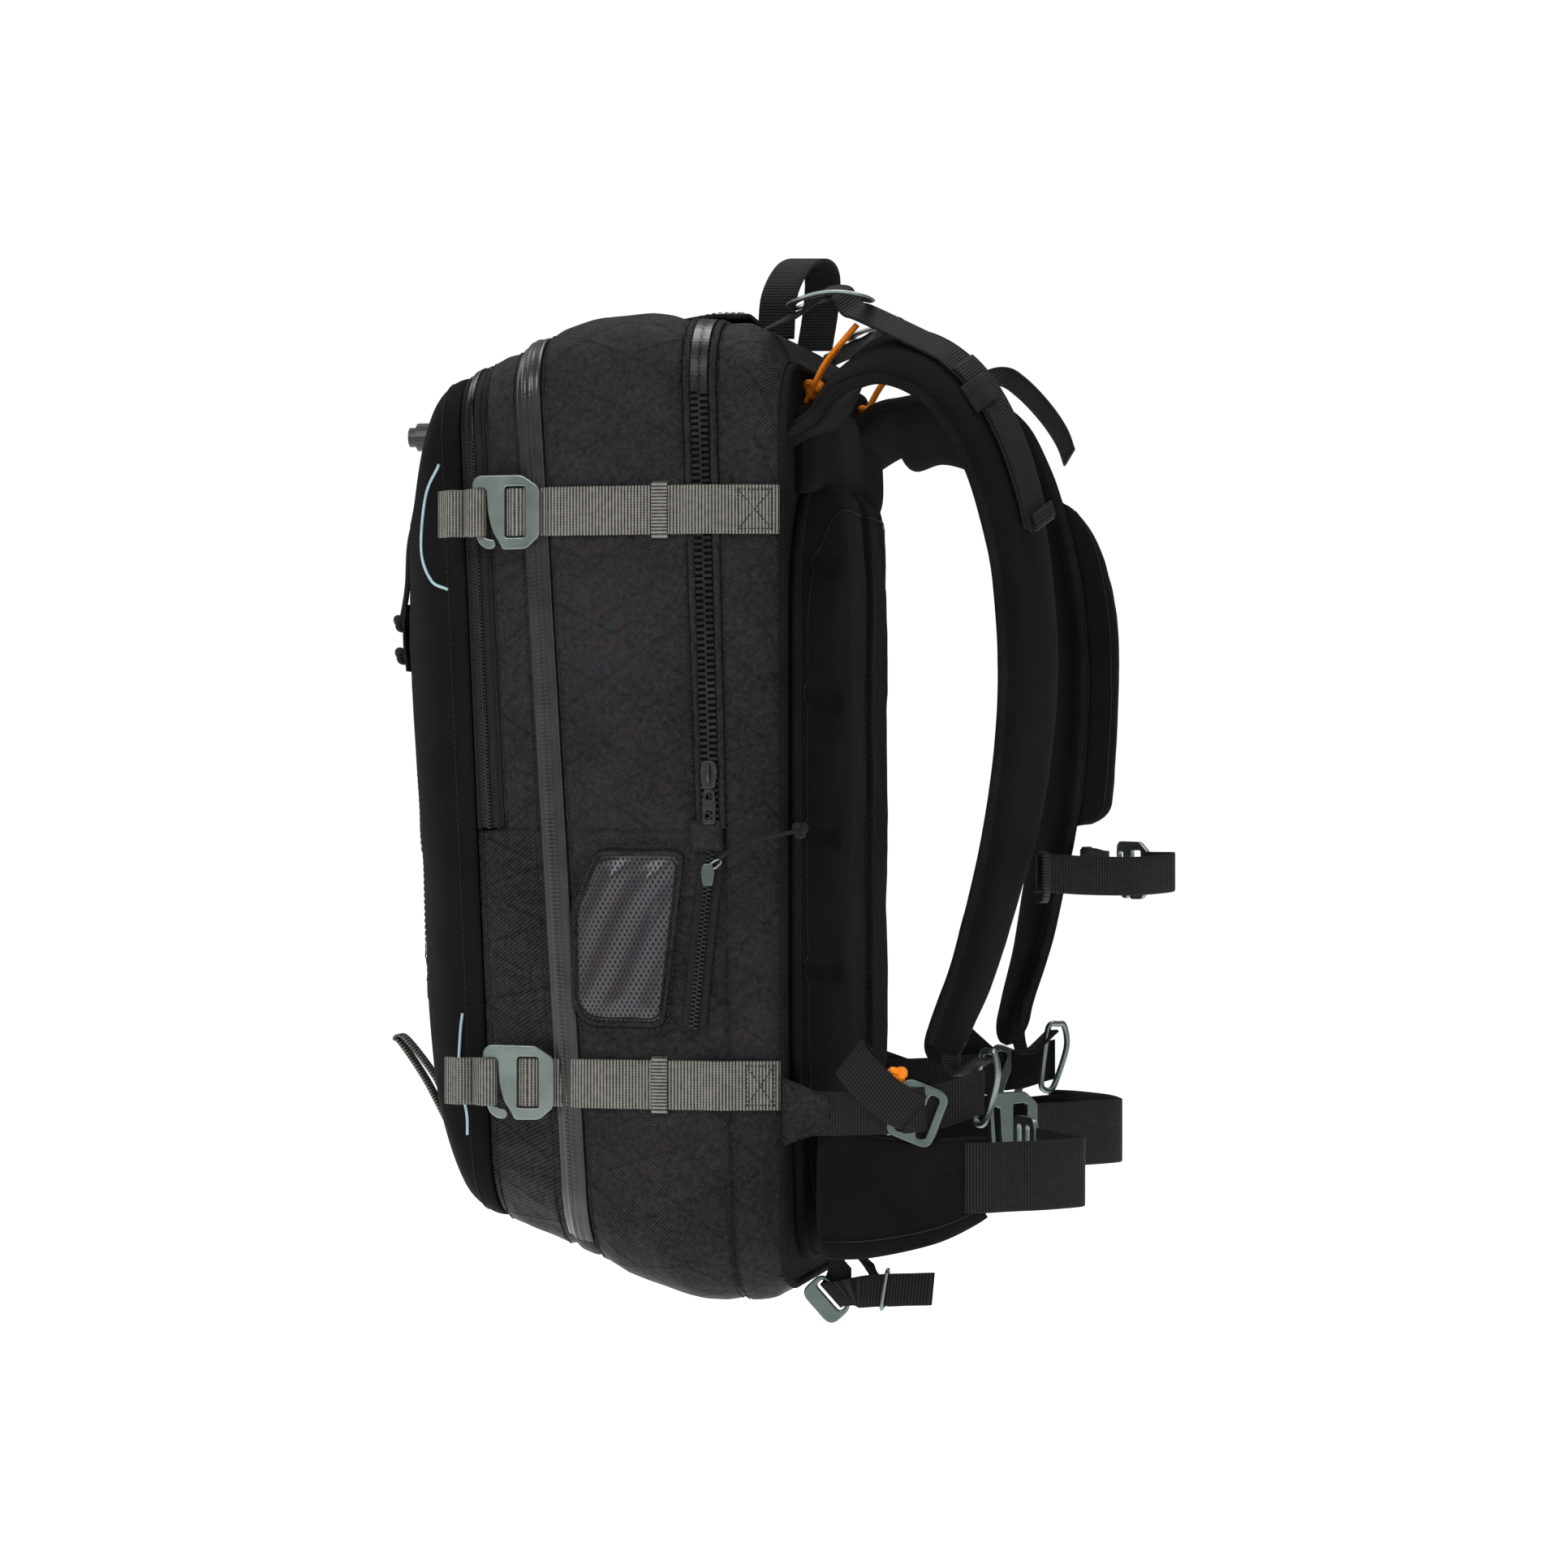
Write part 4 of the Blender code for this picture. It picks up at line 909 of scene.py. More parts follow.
def patch(name, corners, material, crown, stitched=True, count=14):
    """A sewn-on four-sided patch: flat at its edges and crowned in the middle."""
    a, b, c, d = (np.array(p, float) for p in corners)
    s, t = np.meshgrid(np.linspace(0, 1, count), np.linspace(0, 1, count), indexing="ij")
    s, t = s[..., None], t[..., None]
    points = (a * (1 - s) + b * s) * (1 - t) + (d * (1 - s) + c * s) * t
    normal = unit(np.cross(b - a, d - a))
    if np.dot(normal, a - np.array(BAG_MIDDLE)) < 0:
        normal = -normal
    edge = np.minimum(np.minimum(s, 1 - s), np.minimum(t, 1 - t))
    points = points + normal * (crown * smoothstep(edge / 0.10) - 0.0006 * (edge < 0.01))
    skin(name, points, material, "pack", thickness=0.0008, offset=0.0)
    if stitched:
        rim = np.array([a, b, c, d, a])
        middle = rim[:4].mean(0)
        rim = resample(middle + (rim - middle) * 0.86, 0.001) + normal * (crown + 0.0002)
        stitches(f"{name}_stitches", rim, normal, "pack", pitch=0.0026)


def make_main_zip():
    """Two rubber-coated lips over a coil; under the bag a plain strip of cloth is the hinge."""
    low = CORNER_STEPS // 2
    lower_wall = WALL_STEPS + low
    loop = np.arange(-lower_wall, ARCH_END + lower_wall + 1)
    count = len(section(-0.15))
    centre, half = zip_line(MAIN_ZIP, loop % count, 0.0007)
    lips = [(-1.0, -0.0006), (-0.97, 0.0002), (-0.80, 0.0004), (-0.55, 0.0005), (-0.45, 0.0007),
            (-0.34, 0.0013), (-0.22, 0.0016), (-0.10, 0.0014), (-0.04, 0.0008), (0.0, 0.0001)]
    profile = lips + [(-a, b) for a, b in lips[-2::-1]]
    zip_tape("main_zip_lips", centre, half, profile, "coated_zip", "pack", ["main_zip_tape"],
             ribs=0.00013, offset=-1.0)
    out = tape_normals(centre, half)
    for label, share in (("front", -0.86), ("rear", 0.86)):
        stitches(f"main_zip_{label}_stitches", centre + half * share + out * 0.0004, out, "pack")
    hinge = np.arange(ARCH_END + lower_wall - 2, count - lower_wall + 3)
    centre, half = zip_line(MAIN_ZIP, hinge, 0.003)
    profile = [(a, 0.0008 - 0.0018 * abs(a) ** 4) for a in np.linspace(-1.04, 1.04, 13)]
    bend = ("lid", "pack", (-0.134, 0, -0.24), (-0.122, 0, -0.24))
    zip_tape("base_hinge", centre, half, profile, "gusset_fabric", bend, [])


def make_front_zip():
    centre, half = zip_line(FRONT_ZIP, ARCH, 0.0020)
    profile = [(a, 0.0001 + 0.0006 * math.exp(-(a / 0.16) ** 2) - 0.0012 * abs(a) ** 6)
               for a in np.linspace(-1, 1, 21)]
    zip_tape("front_zip_cloth", centre, half, profile, "zip_tape", "lid", ["front_zip_tape"])
    out = tape_normals(centre, half)
    zip_teeth("front_zip_coil", centre + out * 0.0006, out, "lid", 0.0018, 0.0042, 0.0009,
              0.0011)
    for k, share in enumerate((-0.78, -0.66, 0.66, 0.78)):
        stitches(f"front_zip_stitches_{k + 1}", centre + half * share + out * 0.0001, out, "lid",
                 pitch=0.0030)


SHIELD = ((-0.0032, -0.0068), (0.0032, -0.0068), (0.0046, 0.0030), (0.0030, 0.0072),
          (-0.0030, 0.0072), (-0.0046, 0.0030))  # a zip slider's outline


def facing_right(place):
    """The frame of a plate that lies on the bag's right side."""
    return axes_matrix((1, 0, 0), (0, 0, 1), place)


def make_sliders():
    wall = on_side(-0.0632, 0.0045, -1, 0.0004)
    plate("airbag_zip_slider_shield", [SHIELD], 0.0016, "black_plastic",
          facing_right(wall + (0, -0.0034, 0)), "airbag_zip_slider", ["airbag_zip_slider"], 0.0016)
    bridge = wall + np.array([(0, -0.0038, 0.0052), (0, -0.0056, 0.0030), (0, -0.0058, -0.0010),
                              (0, -0.0040, -0.0042)])
    tube("airbag_zip_slider_bridge", smooth_path(bridge, 5), 0.0011, "black_plastic",
         "airbag_zip_slider")
    tab = [(-0.0028, 0.0012), (0.0028, 0.0012), (0.0036, -0.0060), (0.0034, -0.0170),
           (-0.0034, -0.0170), (-0.0036, -0.0060)]
    plate("airbag_zip_pull_tab", [tab, rectangle(0.0030, 0.0040, (0, -0.0028)),
                                  rectangle(0.0036, 0.0050, (0, -0.0122))],
          0.0020, "black_plastic", facing_right(wall + (0, -0.0024, -0.0080)),
          "airbag_zip_pull", ["airbag_zip_pull"], 0.0022)
    wall = on_side(*SIDE_SLIDER, -1, 0.0004)
    plate("side_zip_slider_shield", [[(x * 0.8, y * 0.8) for x, y in SHIELD]], 0.0014,
          "dark_metal", facing_right(wall + (0, -0.0042, 0)), "side_zip_slider",
          ["side_zip_slider"], 0.0014)
    ring = wall + np.array([(0.0000, -0.0040, 0.0035), (0.0020, -0.0044, 0.0060),
                            (0.0060, -0.0040, 0.0080), (0.0066, -0.0038, 0.0060),
                            (0.0030, -0.0042, 0.0030)])
    tube("side_zip_wire_loop", smooth_path(np.vstack([ring, ring[:1]]), 4)[:-1], 0.0006,
         "steel_wire", "side_zip_slider", closed=True)
    top = line_at(TOP_LINE, -0.154)
    matrix = axes_matrix((1, 0, 0), (0, 1, 0), (-0.1540, 0, top + 0.0046))
    plate("main_zip_slider_shield", [[(y * 0.55, x * 1.5) for x, y in SHIELD]], 0.0020,
          "dark_metal", matrix, "main_zip_slider", ["main_zip_slider"], 0.0016)


# ---- side details
def make_mesh_window():
    """The fan's air intake: glossy net with pulled folds, bound round its edge."""
    outline = fillet(WINDOW, 0.006)
    x, z = np.meshgrid(np.arange(-0.130, -0.0690, 0.0008), np.arange(-0.124, -0.0330, 0.0008),
                       indexing="ij")
    centre = np.array(outline).mean(0)
    across = (x - centre[0]) * 0.82 - (z - centre[1]) * 0.57
    along = (z - centre[1]) * 0.82 + (x - centre[0]) * 0.57
    fold = np.cos(across * 2 * math.pi / 0.0165 + 1.4 * np.sin(along * 55))
    edge = np.min([np.hypot(x - px, z - pz) for px, pz in resample(outline + outline[:1], 0.003)],
                  axis=0)
    lift = 0.0014 + smoothstep(edge / 0.014) * (0.0024 + 0.0014 * fold)
    points = np.array([[side_patch(px, pz, -1, up) for px, pz, up in zip(*row)]
                       for row in zip(x, z, lift)])
    skin("intake_net", points, "mesh", "pack", ["intake_mesh"], thickness=0.0004, offset=0.0,
         hole=~inside(outline, x, z))
    outline = np.array(outline)
    for share, radius, label in ((1.0, 0.0016, "outer"), (0.93, 0.0008, "inner")):
        ring = centre + (outline - centre) * share
        path = np.array([side_patch(x, z, -1, 0.0015) for x, z in ring])
        tube(f"intake_binding_{label}", path, radius, "gusset_fabric", "pack", closed=True)
    ring = np.vstack([outline, outline[:1]])
    ring = centre + (ring - centre) * 1.075
    path = np.array([side_patch(x, z, -1, 0.0026) for x, z in resample(ring, 0.002)])
    stitches("intake_stitches", path, (0, -1.0, 0), "pack")


def make_side_zip():
    """The short coil zip of the right side's pocket."""
    spots = [(-0.0565, -0.0345), (-0.0585, -0.0551), (-0.0620, -0.0879), (-0.0655, -0.1235)]
    line = resample(np.array([side_patch(x, z, -1, 0.0012) for x, z in spots]), 0.0015)
    half = np.array((0.0062, 0, 0.0008))
    profile = [(a, 0.0004 - 0.0008 * abs(a) ** 4) for a in np.linspace(-1, 1, 17)]
    points = swept(line[::-1], half, profile)
    skin("side_zip_cloth", points, "zip_tape", "pack", thickness=TAPE, offset=0.0)
    out = np.array((0, -1.0, 0))
    zip_teeth("side_zip_coil", line + out * 0.0008, out, "pack", 0.0022, 0.0046, 0.0014, 0.0013)
    for k, share in enumerate((-0.82, 0.82)):
        stitches(f"side_zip_stitches_{k + 1}", line + half * share + out * 0.0002, out, "pack",
                 pitch=0.0028)


def make_strap_patches():
    for label, z in STRAP_LEVELS.items():
        for name, side in SIDES.items():
            oval = np.array([side_patch(-0.081 + 0.0165 * math.cos(t),
                                        z - 0.002 + 0.0200 * math.sin(t), side, 0.0004)
                             for t in np.linspace(0, 2 * math.pi, 48, endpoint=False)])
            middle = oval.mean(0)
            rings = np.array([middle + (oval - middle) * share + np.array((0, side, 0)) * lift
                              for share, lift in ((1, 0), (0.97, 0.0005), (0.8, 0.0007),
                                                  (0.5, 0.0007), (0.05, 0.0007))])
            skin(f"strap_patch_{label}_{name}", rings, "side_fabric", "pack", wrap=True)


# ---- ski straps and hooks
HOOK_EDGE = (
    (0.0, 0.0125), (-0.0100, 0.0188), (-0.0345, 0.0190), (-0.0374, 0.0165), (-0.0378, 0.0115),
    (-0.0356, -0.0120), (-0.0338, -0.0160), (-0.0300, -0.0186), (-0.0262, -0.0188),
    (-0.0244, -0.0168), (-0.0252, -0.0140), (-0.0290, -0.0136), (-0.0326, -0.0115),
    (-0.0350, 0.0112), (-0.0340, 0.0122), (-0.0308, 0.0122), (-0.0298, 0.0112),
    (-0.0290, 0.0000), (-0.0268, -0.0090), (-0.0225, -0.0155), (-0.0208, -0.0188),
    (-0.0190, -0.0192), (-0.0075, -0.0190), (0.0, -0.0125),
)
HOOK_SLOT = rectangle(0.0115, 0.0262, (-0.0138, 0.0))


def stitched_box(name, corners, normal, body):
    """A box of bar tacks with a cross in it."""
    a, b, c, d = (np.array(p, float) for p in corners)
    for label, route in (("frame", (a, b, c, d, a)), ("cross", (a, c)), ("cross_2", (b, d))):
        path = resample(np.array(route), 0.001)
        stitches(f"{name}_{label}", path, normal, body,
                 pitch=0.0022, lift=0.0)


def make_ski_straps():
    """The grey webbing across each side, upper and lower, with its hook and its keeper."""
    for level, z in STRAP_LEVELS.items():
        last = HOOK_STATION[level]
        for side_name, side in SIDES.items():
            name = f"{level}_{side_name}"
            stations = np.linspace(last + 0.0020, -0.0225, 40)
            path = np.array([on_side(s, z, side, 0.0014) for s in stations])
            swell = 0.0006 * np.sin(np.linspace(0, 9, 40)) ** 2
            over_zip = 0.0026 * np.exp(-((stations - np.mean(AIRBAG_ZIP)) / 0.0090) ** 4)
            path[:, 1] += side * (swell + over_zip)
            strip(f"ski_webbing_{name}", path, (0, 0, SKI_WEB_HALF), 0.0017, "grey_webbing",
                  "pack", [f"ski_strap_{name}"], pitch=0.003)
            make_hook(name, level, side, z, last)
            rear = [on_side(s, z + dz, side, 0.0026) for s, dz in
                    ((-0.0265, -0.0100), (-0.0265, 0.0100), (-0.0440, 0.0100), (-0.0440, -0.0100))]
            stitched_box(f"ski_webbing_{name}_tack", rear, (0, side, 0), "pack")
            make_keeper(name, z, side)


def make_hook(name, level, side, z, last):
    """The hook plate, the webbing seen in its slot, and the loop of the lid's that it holds."""
    pivot = on_side(last, z, side, 0.0036) + np.array((-0.0012, 0, 0))
    turn = math.radians(HOOK_TILT[level])
    along = np.array((math.cos(turn), side * math.sin(turn), 0))
    out = np.array((-math.sin(turn) * side, math.cos(turn), 0)) * side
    matrix = axes_matrix(along, (0, 0, 1), pivot)
    plate(f"ski_hook_plate_{name}", [HOOK_EDGE, HOOK_SLOT], 0.0026, "anodised_metal", matrix,
          f"ski_hook_{name}", [f"ski_hook_{name}"], 0.0024, 0.0006)

    def placed(route):
        return smooth_path([pivot + along * a + out * b for a, b in route], 6)

    behind = [(0.0050, -0.0020), (0.0000, -0.0024), (-0.0065, -0.0024), (-0.0095, -0.0012),
              (-0.0138, 0.0004), (-0.0175, -0.0008), (-0.0205, -0.0018)]
    path = placed(behind)
    strip(f"ski_webbing_fold_{name}", path, (0, 0, SKI_WEB_HALF - 0.0002), 0.0015,
          "grey_webbing", f"ski_hook_{name}", pitch=0.0010)
    arm = [(-0.0445, -0.0046), (-0.0420, -0.0010), (-0.0395, 0.0022), (-0.0365, 0.0036),
           (-0.0330, 0.0032), (-0.0312, 0.0010), (-0.0318, -0.0020), (-0.0345, -0.0038),
           (-0.0385, -0.0044), (-0.0430, -0.0056)]
    root = [(-0.0600, -0.0068), (-0.0560, -0.0048), (-0.0530, -0.0020), (-0.0500, -0.0012),
            (-0.0470, -0.0030), (-0.0445, -0.0052)]
    for label, route in (("loop", arm), ("root", root)):
        path = placed(route)
        path[:, 1] = side * np.maximum(side * path[:, 1], wall_height(path) + 0.0012)
        strip(f"lid_webbing_{label}_{name}", path, (0, 0, SKI_WEB_HALF - 0.0004), 0.0015,
              "grey_webbing", "lid", pitch=0.0010)


def wall_height(points):
    """Half width of the bag beside each point."""
    return np.array([line_at(HALF_WIDTH_LINE, station_at(x, z)) for x, _, z in points])


def make_keeper(name, z, side):
    """The elastic band that holds the strap's folded tail."""
    outline = [(-0.0139, 0.0010), (-0.0135, 0.0030), (-0.0100, 0.0037), (0.0, 0.0040),
               (0.0100, 0.0037), (0.0135, 0.0030), (0.0139, 0.0010)]
    path = np.array([side_patch(-0.0830, z + dz, side, lift) for dz, lift in outline])
    path = smooth_path(path, 5)
    strip(f"strap_keeper_{name}", path, (0.0041, 0, 0), 0.0012, "grey_webbing", "pack",
          pitch=0.001)


# ---- top and front fittings
def make_top():
    flap = smooth_path([(-0.0945, 0, 0.2398), (-0.0900, 0, 0.2430), (-0.0720, 0, 0.2464),
                        (-0.0550, 0, 0.2455)])
    across = np.linspace(-0.060, 0.060, 61)
    points = np.array([[(x, y, z - 0.0010 * (abs(y) / 0.06) ** 6
                         + 0.0006 * math.sin(y * 130 + x * 90)) for x, _, z in flap]
                       for y in across])
    obj = grid("top_flap_cloth", points, thickness=0.0026, offset=0.0)
    bevel = obj.modifiers.new("edges", "BEVEL")
    bevel.width = 0.0009
    bevel.segments = 2
    link(obj, "gusset_fabric", "top_flap", nodes=["top_flap"])
    for k, row in enumerate((3, 57)):
        path = points[row, 8:-2]
        stitches(f"top_flap_stitches_{k + 1}", path + np.array((0, 0, 0.0014)),
                 (-0.15, 0, 1.0), "top_flap")
    edge = points[2:-2, -3]
    stitches("top_flap_edge_stitches", edge + np.array((0, 0, 0.0014)),
             (0, 0, 1.0), "top_flap")
    handle = smooth_path([
        (-0.0435, -0.035, 0.2350), (-0.0420, -0.033, 0.258), (-0.0365, -0.020, 0.2745),
        (-0.0310, 0.000, 0.2800), (-0.0290, 0.020, 0.2745), (-0.0320, 0.033, 0.258),
        (-0.0360, 0.035, 0.2350)], 10)
    strip("grab_handle_webbing", handle, (0.0095, 0.002, 0), 0.0020, "black_webbing",
          "grab_handle", ["grab_handle"])


def make_front_fittings(points, normals):
    loop = smooth_path([
        (-0.2110, -0.026, -0.1960), (-0.2215, -0.024, -0.1880), (-0.2380, -0.021, -0.1600),
        (-0.2525, -0.019, -0.1400), (-0.2560, -0.019, -0.1375), (-0.2505, -0.019, -0.1370),
        (-0.2330, -0.021, -0.1580), (-0.2255, -0.024, -0.1740)])
    strip("axe_loop_webbing", loop, (0, 0.0055, 0), WEBBING, "grey_webbing", "axe_loop",
          ["axe_loop"], pitch=0.0012)
    path, out = front_points(points, normals, [-0.0262] * 12, np.linspace(-0.215, -0.190, 12))
    strip("axe_loop_root", path + out * 0.0012, (0, 0.0075, 0), WEBBING, "grey_webbing", "lid")
    heights = np.linspace(0.0955, 0.0600, 10)
    path, out = front_points(points, normals, [-0.045] * 10, heights)
    strip("bungee_anchor", path + out * 0.0012, (0, 0.0100, 0), WEBBING, "black_webbing", "lid")
    for k, height in enumerate((0.0860, 0.0690)):
        spot, out = front_points(points, normals, [-0.045], [height])
        knot(f"bungee_knot_{k + 1}", spot[0] + out[0] * 0.0048, 0.0052, "lid", "black_cord")
    start, out = front_points(points, normals, [-0.045], [0.0860])
    cord("axe_bungee", [start[0] + out[0] * 0.0050] +
         [front_points(points, normals, [-0.045], [z])[0][0] + out[0] * lift for z, lift in
          ((0.1050, 0.0034), (0.1300, 0.0034), (0.1550, 0.0036))] + [(-0.2312, -0.045, 0.1765)],
         0.0016, "lid")
    make_piping(points, normals)


def make_piping(points, normals):
    """Reflective piping arcs where the front panel meets the gusset, on both sides."""
    arcs = {"upper": ((-0.110, 0.166), (-0.099, 0.150), (-0.094, 0.122), (-0.101, 0.106),
                      (-0.111, 0.101)),
            "lower": ((-0.116, -0.119), (-0.104, -0.130), (-0.103, -0.152), (-0.110, -0.170),
                      (-0.114, -0.182))}
    for level, arc in arcs.items():
        for name, side in SIDES.items():
            across = [max(y, -0.1045) * -side for y, _ in arc]
            spots, out = front_points(points, normals, across, [z for _, z in arc])
            tube(f"reflective_piping_{level}_{name}", smooth_path(spots + out * 0.0008, 10),
                 0.0008, "piping", "lid", sides=8)


# ---- shoulder straps
STRAP_EDGES = (
    ((-0.0080, -0.126, 0.1840), (-0.0060, -0.034, 0.2000)),
    ((0.0010, -0.127, 0.1950), (0.0030, -0.036, 0.2190)),
    ((0.0120, -0.127, 0.2020), (0.0170, -0.040, 0.2320)),
    ((0.0270, -0.125, 0.2055), (0.0350, -0.046, 0.2340)),
    ((0.0450, -0.123, 0.1995), (0.0560, -0.052, 0.2245)),
    ((0.0610, -0.121, 0.1855), (0.0740, -0.056, 0.2070)),
    ((0.0745, -0.120, 0.1620), (0.0875, -0.058, 0.1810)),
    ((0.0835, -0.120, 0.1360), (0.0965, -0.059, 0.1500)),
    ((0.0900, -0.121, 0.1050), (0.1030, -0.060, 0.1150)),
    ((0.0935, -0.122, 0.0660), (0.1065, -0.061, 0.0710)),
    ((0.0925, -0.124, 0.0270), (0.1055, -0.065, 0.0300)),
    ((0.0880, -0.128, -0.0150), (0.1005, -0.074, -0.0140)),
    ((0.0815, -0.133, -0.0530), (0.0910, -0.086, -0.0530)),
    ((0.0720, -0.137, -0.0900), (0.0805, -0.098, -0.0920)),
    ((0.0600, -0.140, -0.1215), (0.0690, -0.108, -0.1220)),
    ((0.0520, -0.141, -0.1400), (0.0640, -0.117, -0.1430)),
)
LEFT_ARCH_DROP = 0.012
LEFT_CROWN_SAG = 0.012  # how much more the top of the left strap's arch has sunk
STRAP_FOAM = 0.014
STRAP_CURL = {-1: 0.003, 1: 0.012}  # how far a lateral edge curls in towards the wearer


def strap_edges(side):
    edges = np.array(STRAP_EDGES)
    edges[..., 1] *= -side
    if side > 0:
        share = np.clip((edges[..., 2] - 0.05) / 0.12, 0, 1)
        start = np.clip((edges[..., 0] + 0.004) / 0.012, 0, 1)
        edges[..., 2] -= LEFT_ARCH_DROP * share * start
        crown = start * np.clip((0.070 - edges[..., 0]) / 0.030, 0, 1)
        edges[..., 2] -= LEFT_CROWN_SAG * crown
        edges[:, 0, 0] -= 0.6 * LEFT_CROWN_SAG * crown[:, 0]
    return edges


STRAP_ROOT = ((-0.0285, -0.1300, 0.1720), (-0.0190, -0.0300, 0.1860))


def strap_frame(side, stations):
    """Lateral edge, medial edge and outward normal of a strap at each station along it.

    Station -1 is the root, sewn into the top of the back, and 0 is where the strap leaves it.
    """
    root = np.array([STRAP_ROOT]) * (1, -side, 1)
    edges = np.vstack([root, strap_edges(side)])
    fine = np.stack([smooth_path(edges[:, k]) for k in (0, 1)], 1)
    marks = np.arange(len(fine)) / 8 - 1
    both = fine.reshape(len(fine), 6)
    at = np.stack([np.interp(stations, marks, both[:, k]) for k in range(6)], -1)
    lateral, medial = at[:, :3], at[:, 3:]
    curl = smoothstep((stations - 3) / 3) * smoothstep((15 - stations) / 3)
    lateral[:, 0] -= STRAP_CURL[side] * curl
    normal = unit(np.cross(heading(lateral + medial), medial - lateral)) * -side
    return lateral, medial, normal


def strap_points(side, stations, lift):
    """Points and normals along a strap's middle line, lifted off its middle surface."""
    spread = np.linspace(0, 15, 301)
    lateral, medial, normal = strap_frame(side, spread)
    middle = between(lateral, medial, 0)
    at = np.stack([np.interp(stations, spread, middle[:, k]) for k in range(3)], -1)
    out = unit(np.stack([np.interp(stations, spread, normal[:, k]) for k in range(3)], -1))
    return at + out * lift, out


def pad_rings(lateral, medial, normal, thickness):
    """Cross sections of a padded strap: crowned faces that thin out to a bound edge."""
    turn = np.arange(PAD_SIDES) * 2 * math.pi / PAD_SIDES
    across = np.sign(np.cos(turn)) * np.abs(np.cos(turn)) ** 0.75
    fullness = np.sqrt(np.clip(1 - np.abs(across) ** 3.2, 0, 1))
    height = np.sign(np.sin(turn)) * (EDGE_RIM + (thickness / 2 - EDGE_RIM) * fullness)
    height[np.abs(np.sin(turn)) < 1e-9] = 0.0
    return between(lateral[:, None], medial[:, None], across[None, :, None]) \
        + normal[:, None] * height[None, :, None]


def tapered_ends(rings, start, end):
    """Closes the first and last rings towards their own middles, round like a sewn end."""
    count = len(rings)
    share = np.ones(count)
    if start:
        share[:start] = np.sqrt(1 - (1 - np.arange(start) / start) ** 2) * 0.98 + 0.02
    if end:
        share[-end:] = (np.sqrt(1 - (1 - np.arange(end) / end) ** 2) * 0.98 + 0.02)[::-1]
    middle = rings.mean(1, keepdims=True)
    return middle + (rings - middle) * share[:, None, None]


def soften(points, amount, seed):
    """Small dents in foam, along the line from each ring's middle."""
    middle = points.mean(1, keepdims=True)
    out = unit(points - middle)
    return points + out * (fractal(points * 28, seed) * amount)[..., None]


def make_shoulder_strap(name, side):
    stations = np.linspace(-1, 15, 232)
    lateral, medial, normal = strap_frame(side, stations)
    rings = pad_rings(lateral, medial, normal, STRAP_FOAM)
    rings = soften(tapered_ends(rings, 0, 12), 0.0007, 41)
    pad = skin(f"shoulder_pad_{name}", rings, "strap_fabric", "pack", [f"shoulder_strap_{name}"],
               wrap=True, caps=True)
    for label, edge in (("lateral", -1), ("medial", 1)):
        rim = between(lateral, medial, edge * 0.992)
        tube(f"strap_binding_{name}_{label}", rim[3:-8], 0.0024, "binding", "pack")
        line = between(lateral, medial, edge * 0.80) + normal * 0.0040
        stitches(f"strap_stitches_{name}_{label}", line[6:-14], normal[6:-14], "pack",
                 pitch=0.0036)


FREE_LIFTER_TAIL = (  # the left lifter's tail, which hangs free of its strap
    (0.0400, 0.088, 0.2165), (0.0500, 0.088, 0.2235), (0.0610, 0.088, 0.2240),
    (0.0700, 0.088, 0.2180), (0.0790, 0.088, 0.2090), (0.0870, 0.088, 0.1990),
    (0.0930, 0.088, 0.1890), (0.0965, 0.088, 0.1790))


def make_load_lifter(name, side):
    y = side * 0.088
    drop = LEFT_ARCH_DROP if side > 0 else 0.0
    first = [(-0.0420, y, 0.2325), (-0.0300, y, 0.2385), (-0.0200, y, 0.2425),
             (-0.0150, y, 0.2460), (-0.0130, y, 0.2500), (-0.0095, y, 0.2524),
             (-0.0035, y, 0.2532), (0.0015, y, 0.2520), (0.0040, y, 0.2480),
             (0.0075, y, 0.2440), (0.0150, y, 0.2412 - drop * 0.3)]
    lift = STRAP_FOAM / 2 + 0.0040
    spots, _ = strap_points(side, (3.8, 4.2, 4.7, 5.2, 6.0, 6.8, 7.4), lift)
    path = smooth_path(np.vstack([first, spots]), 6)
    half = (-side * 0.0034, 0.0086, -side * 0.0042)
    strip(f"lifter_webbing_{name}", path, half, WEBBING, "black_webbing", "pack",
          [f"load_lifter_{name}"])
    if side < 0:
        tail, _ = strap_points(side, np.linspace(4.4, 7.4, 16), lift + 0.0020)
        tail = np.vstack([tail, tail[-1] + (0.0026, 0, -0.0014), tail[-1] + (0.0040, 0, 0.0006),
                          tail[-2] + (0.0036, 0, 0.0010)])
    else:
        tail = np.array(FREE_LIFTER_TAIL)
    tail = smooth_path(tail, 4)
    half = (-side * 0.0038, 0.0080, -side * 0.0040)
    strip(f"lifter_tail_{name}", tail, half, 0.0015, "black_webbing", "pack")
    make_strap_band(f"lifter_keeper_{name}", side, 5.05, 0.0080, "black_webbing", 0.0012, 0.42)
    make_bowed_buckle(name, np.array((-0.0045, y, 0.2490)))


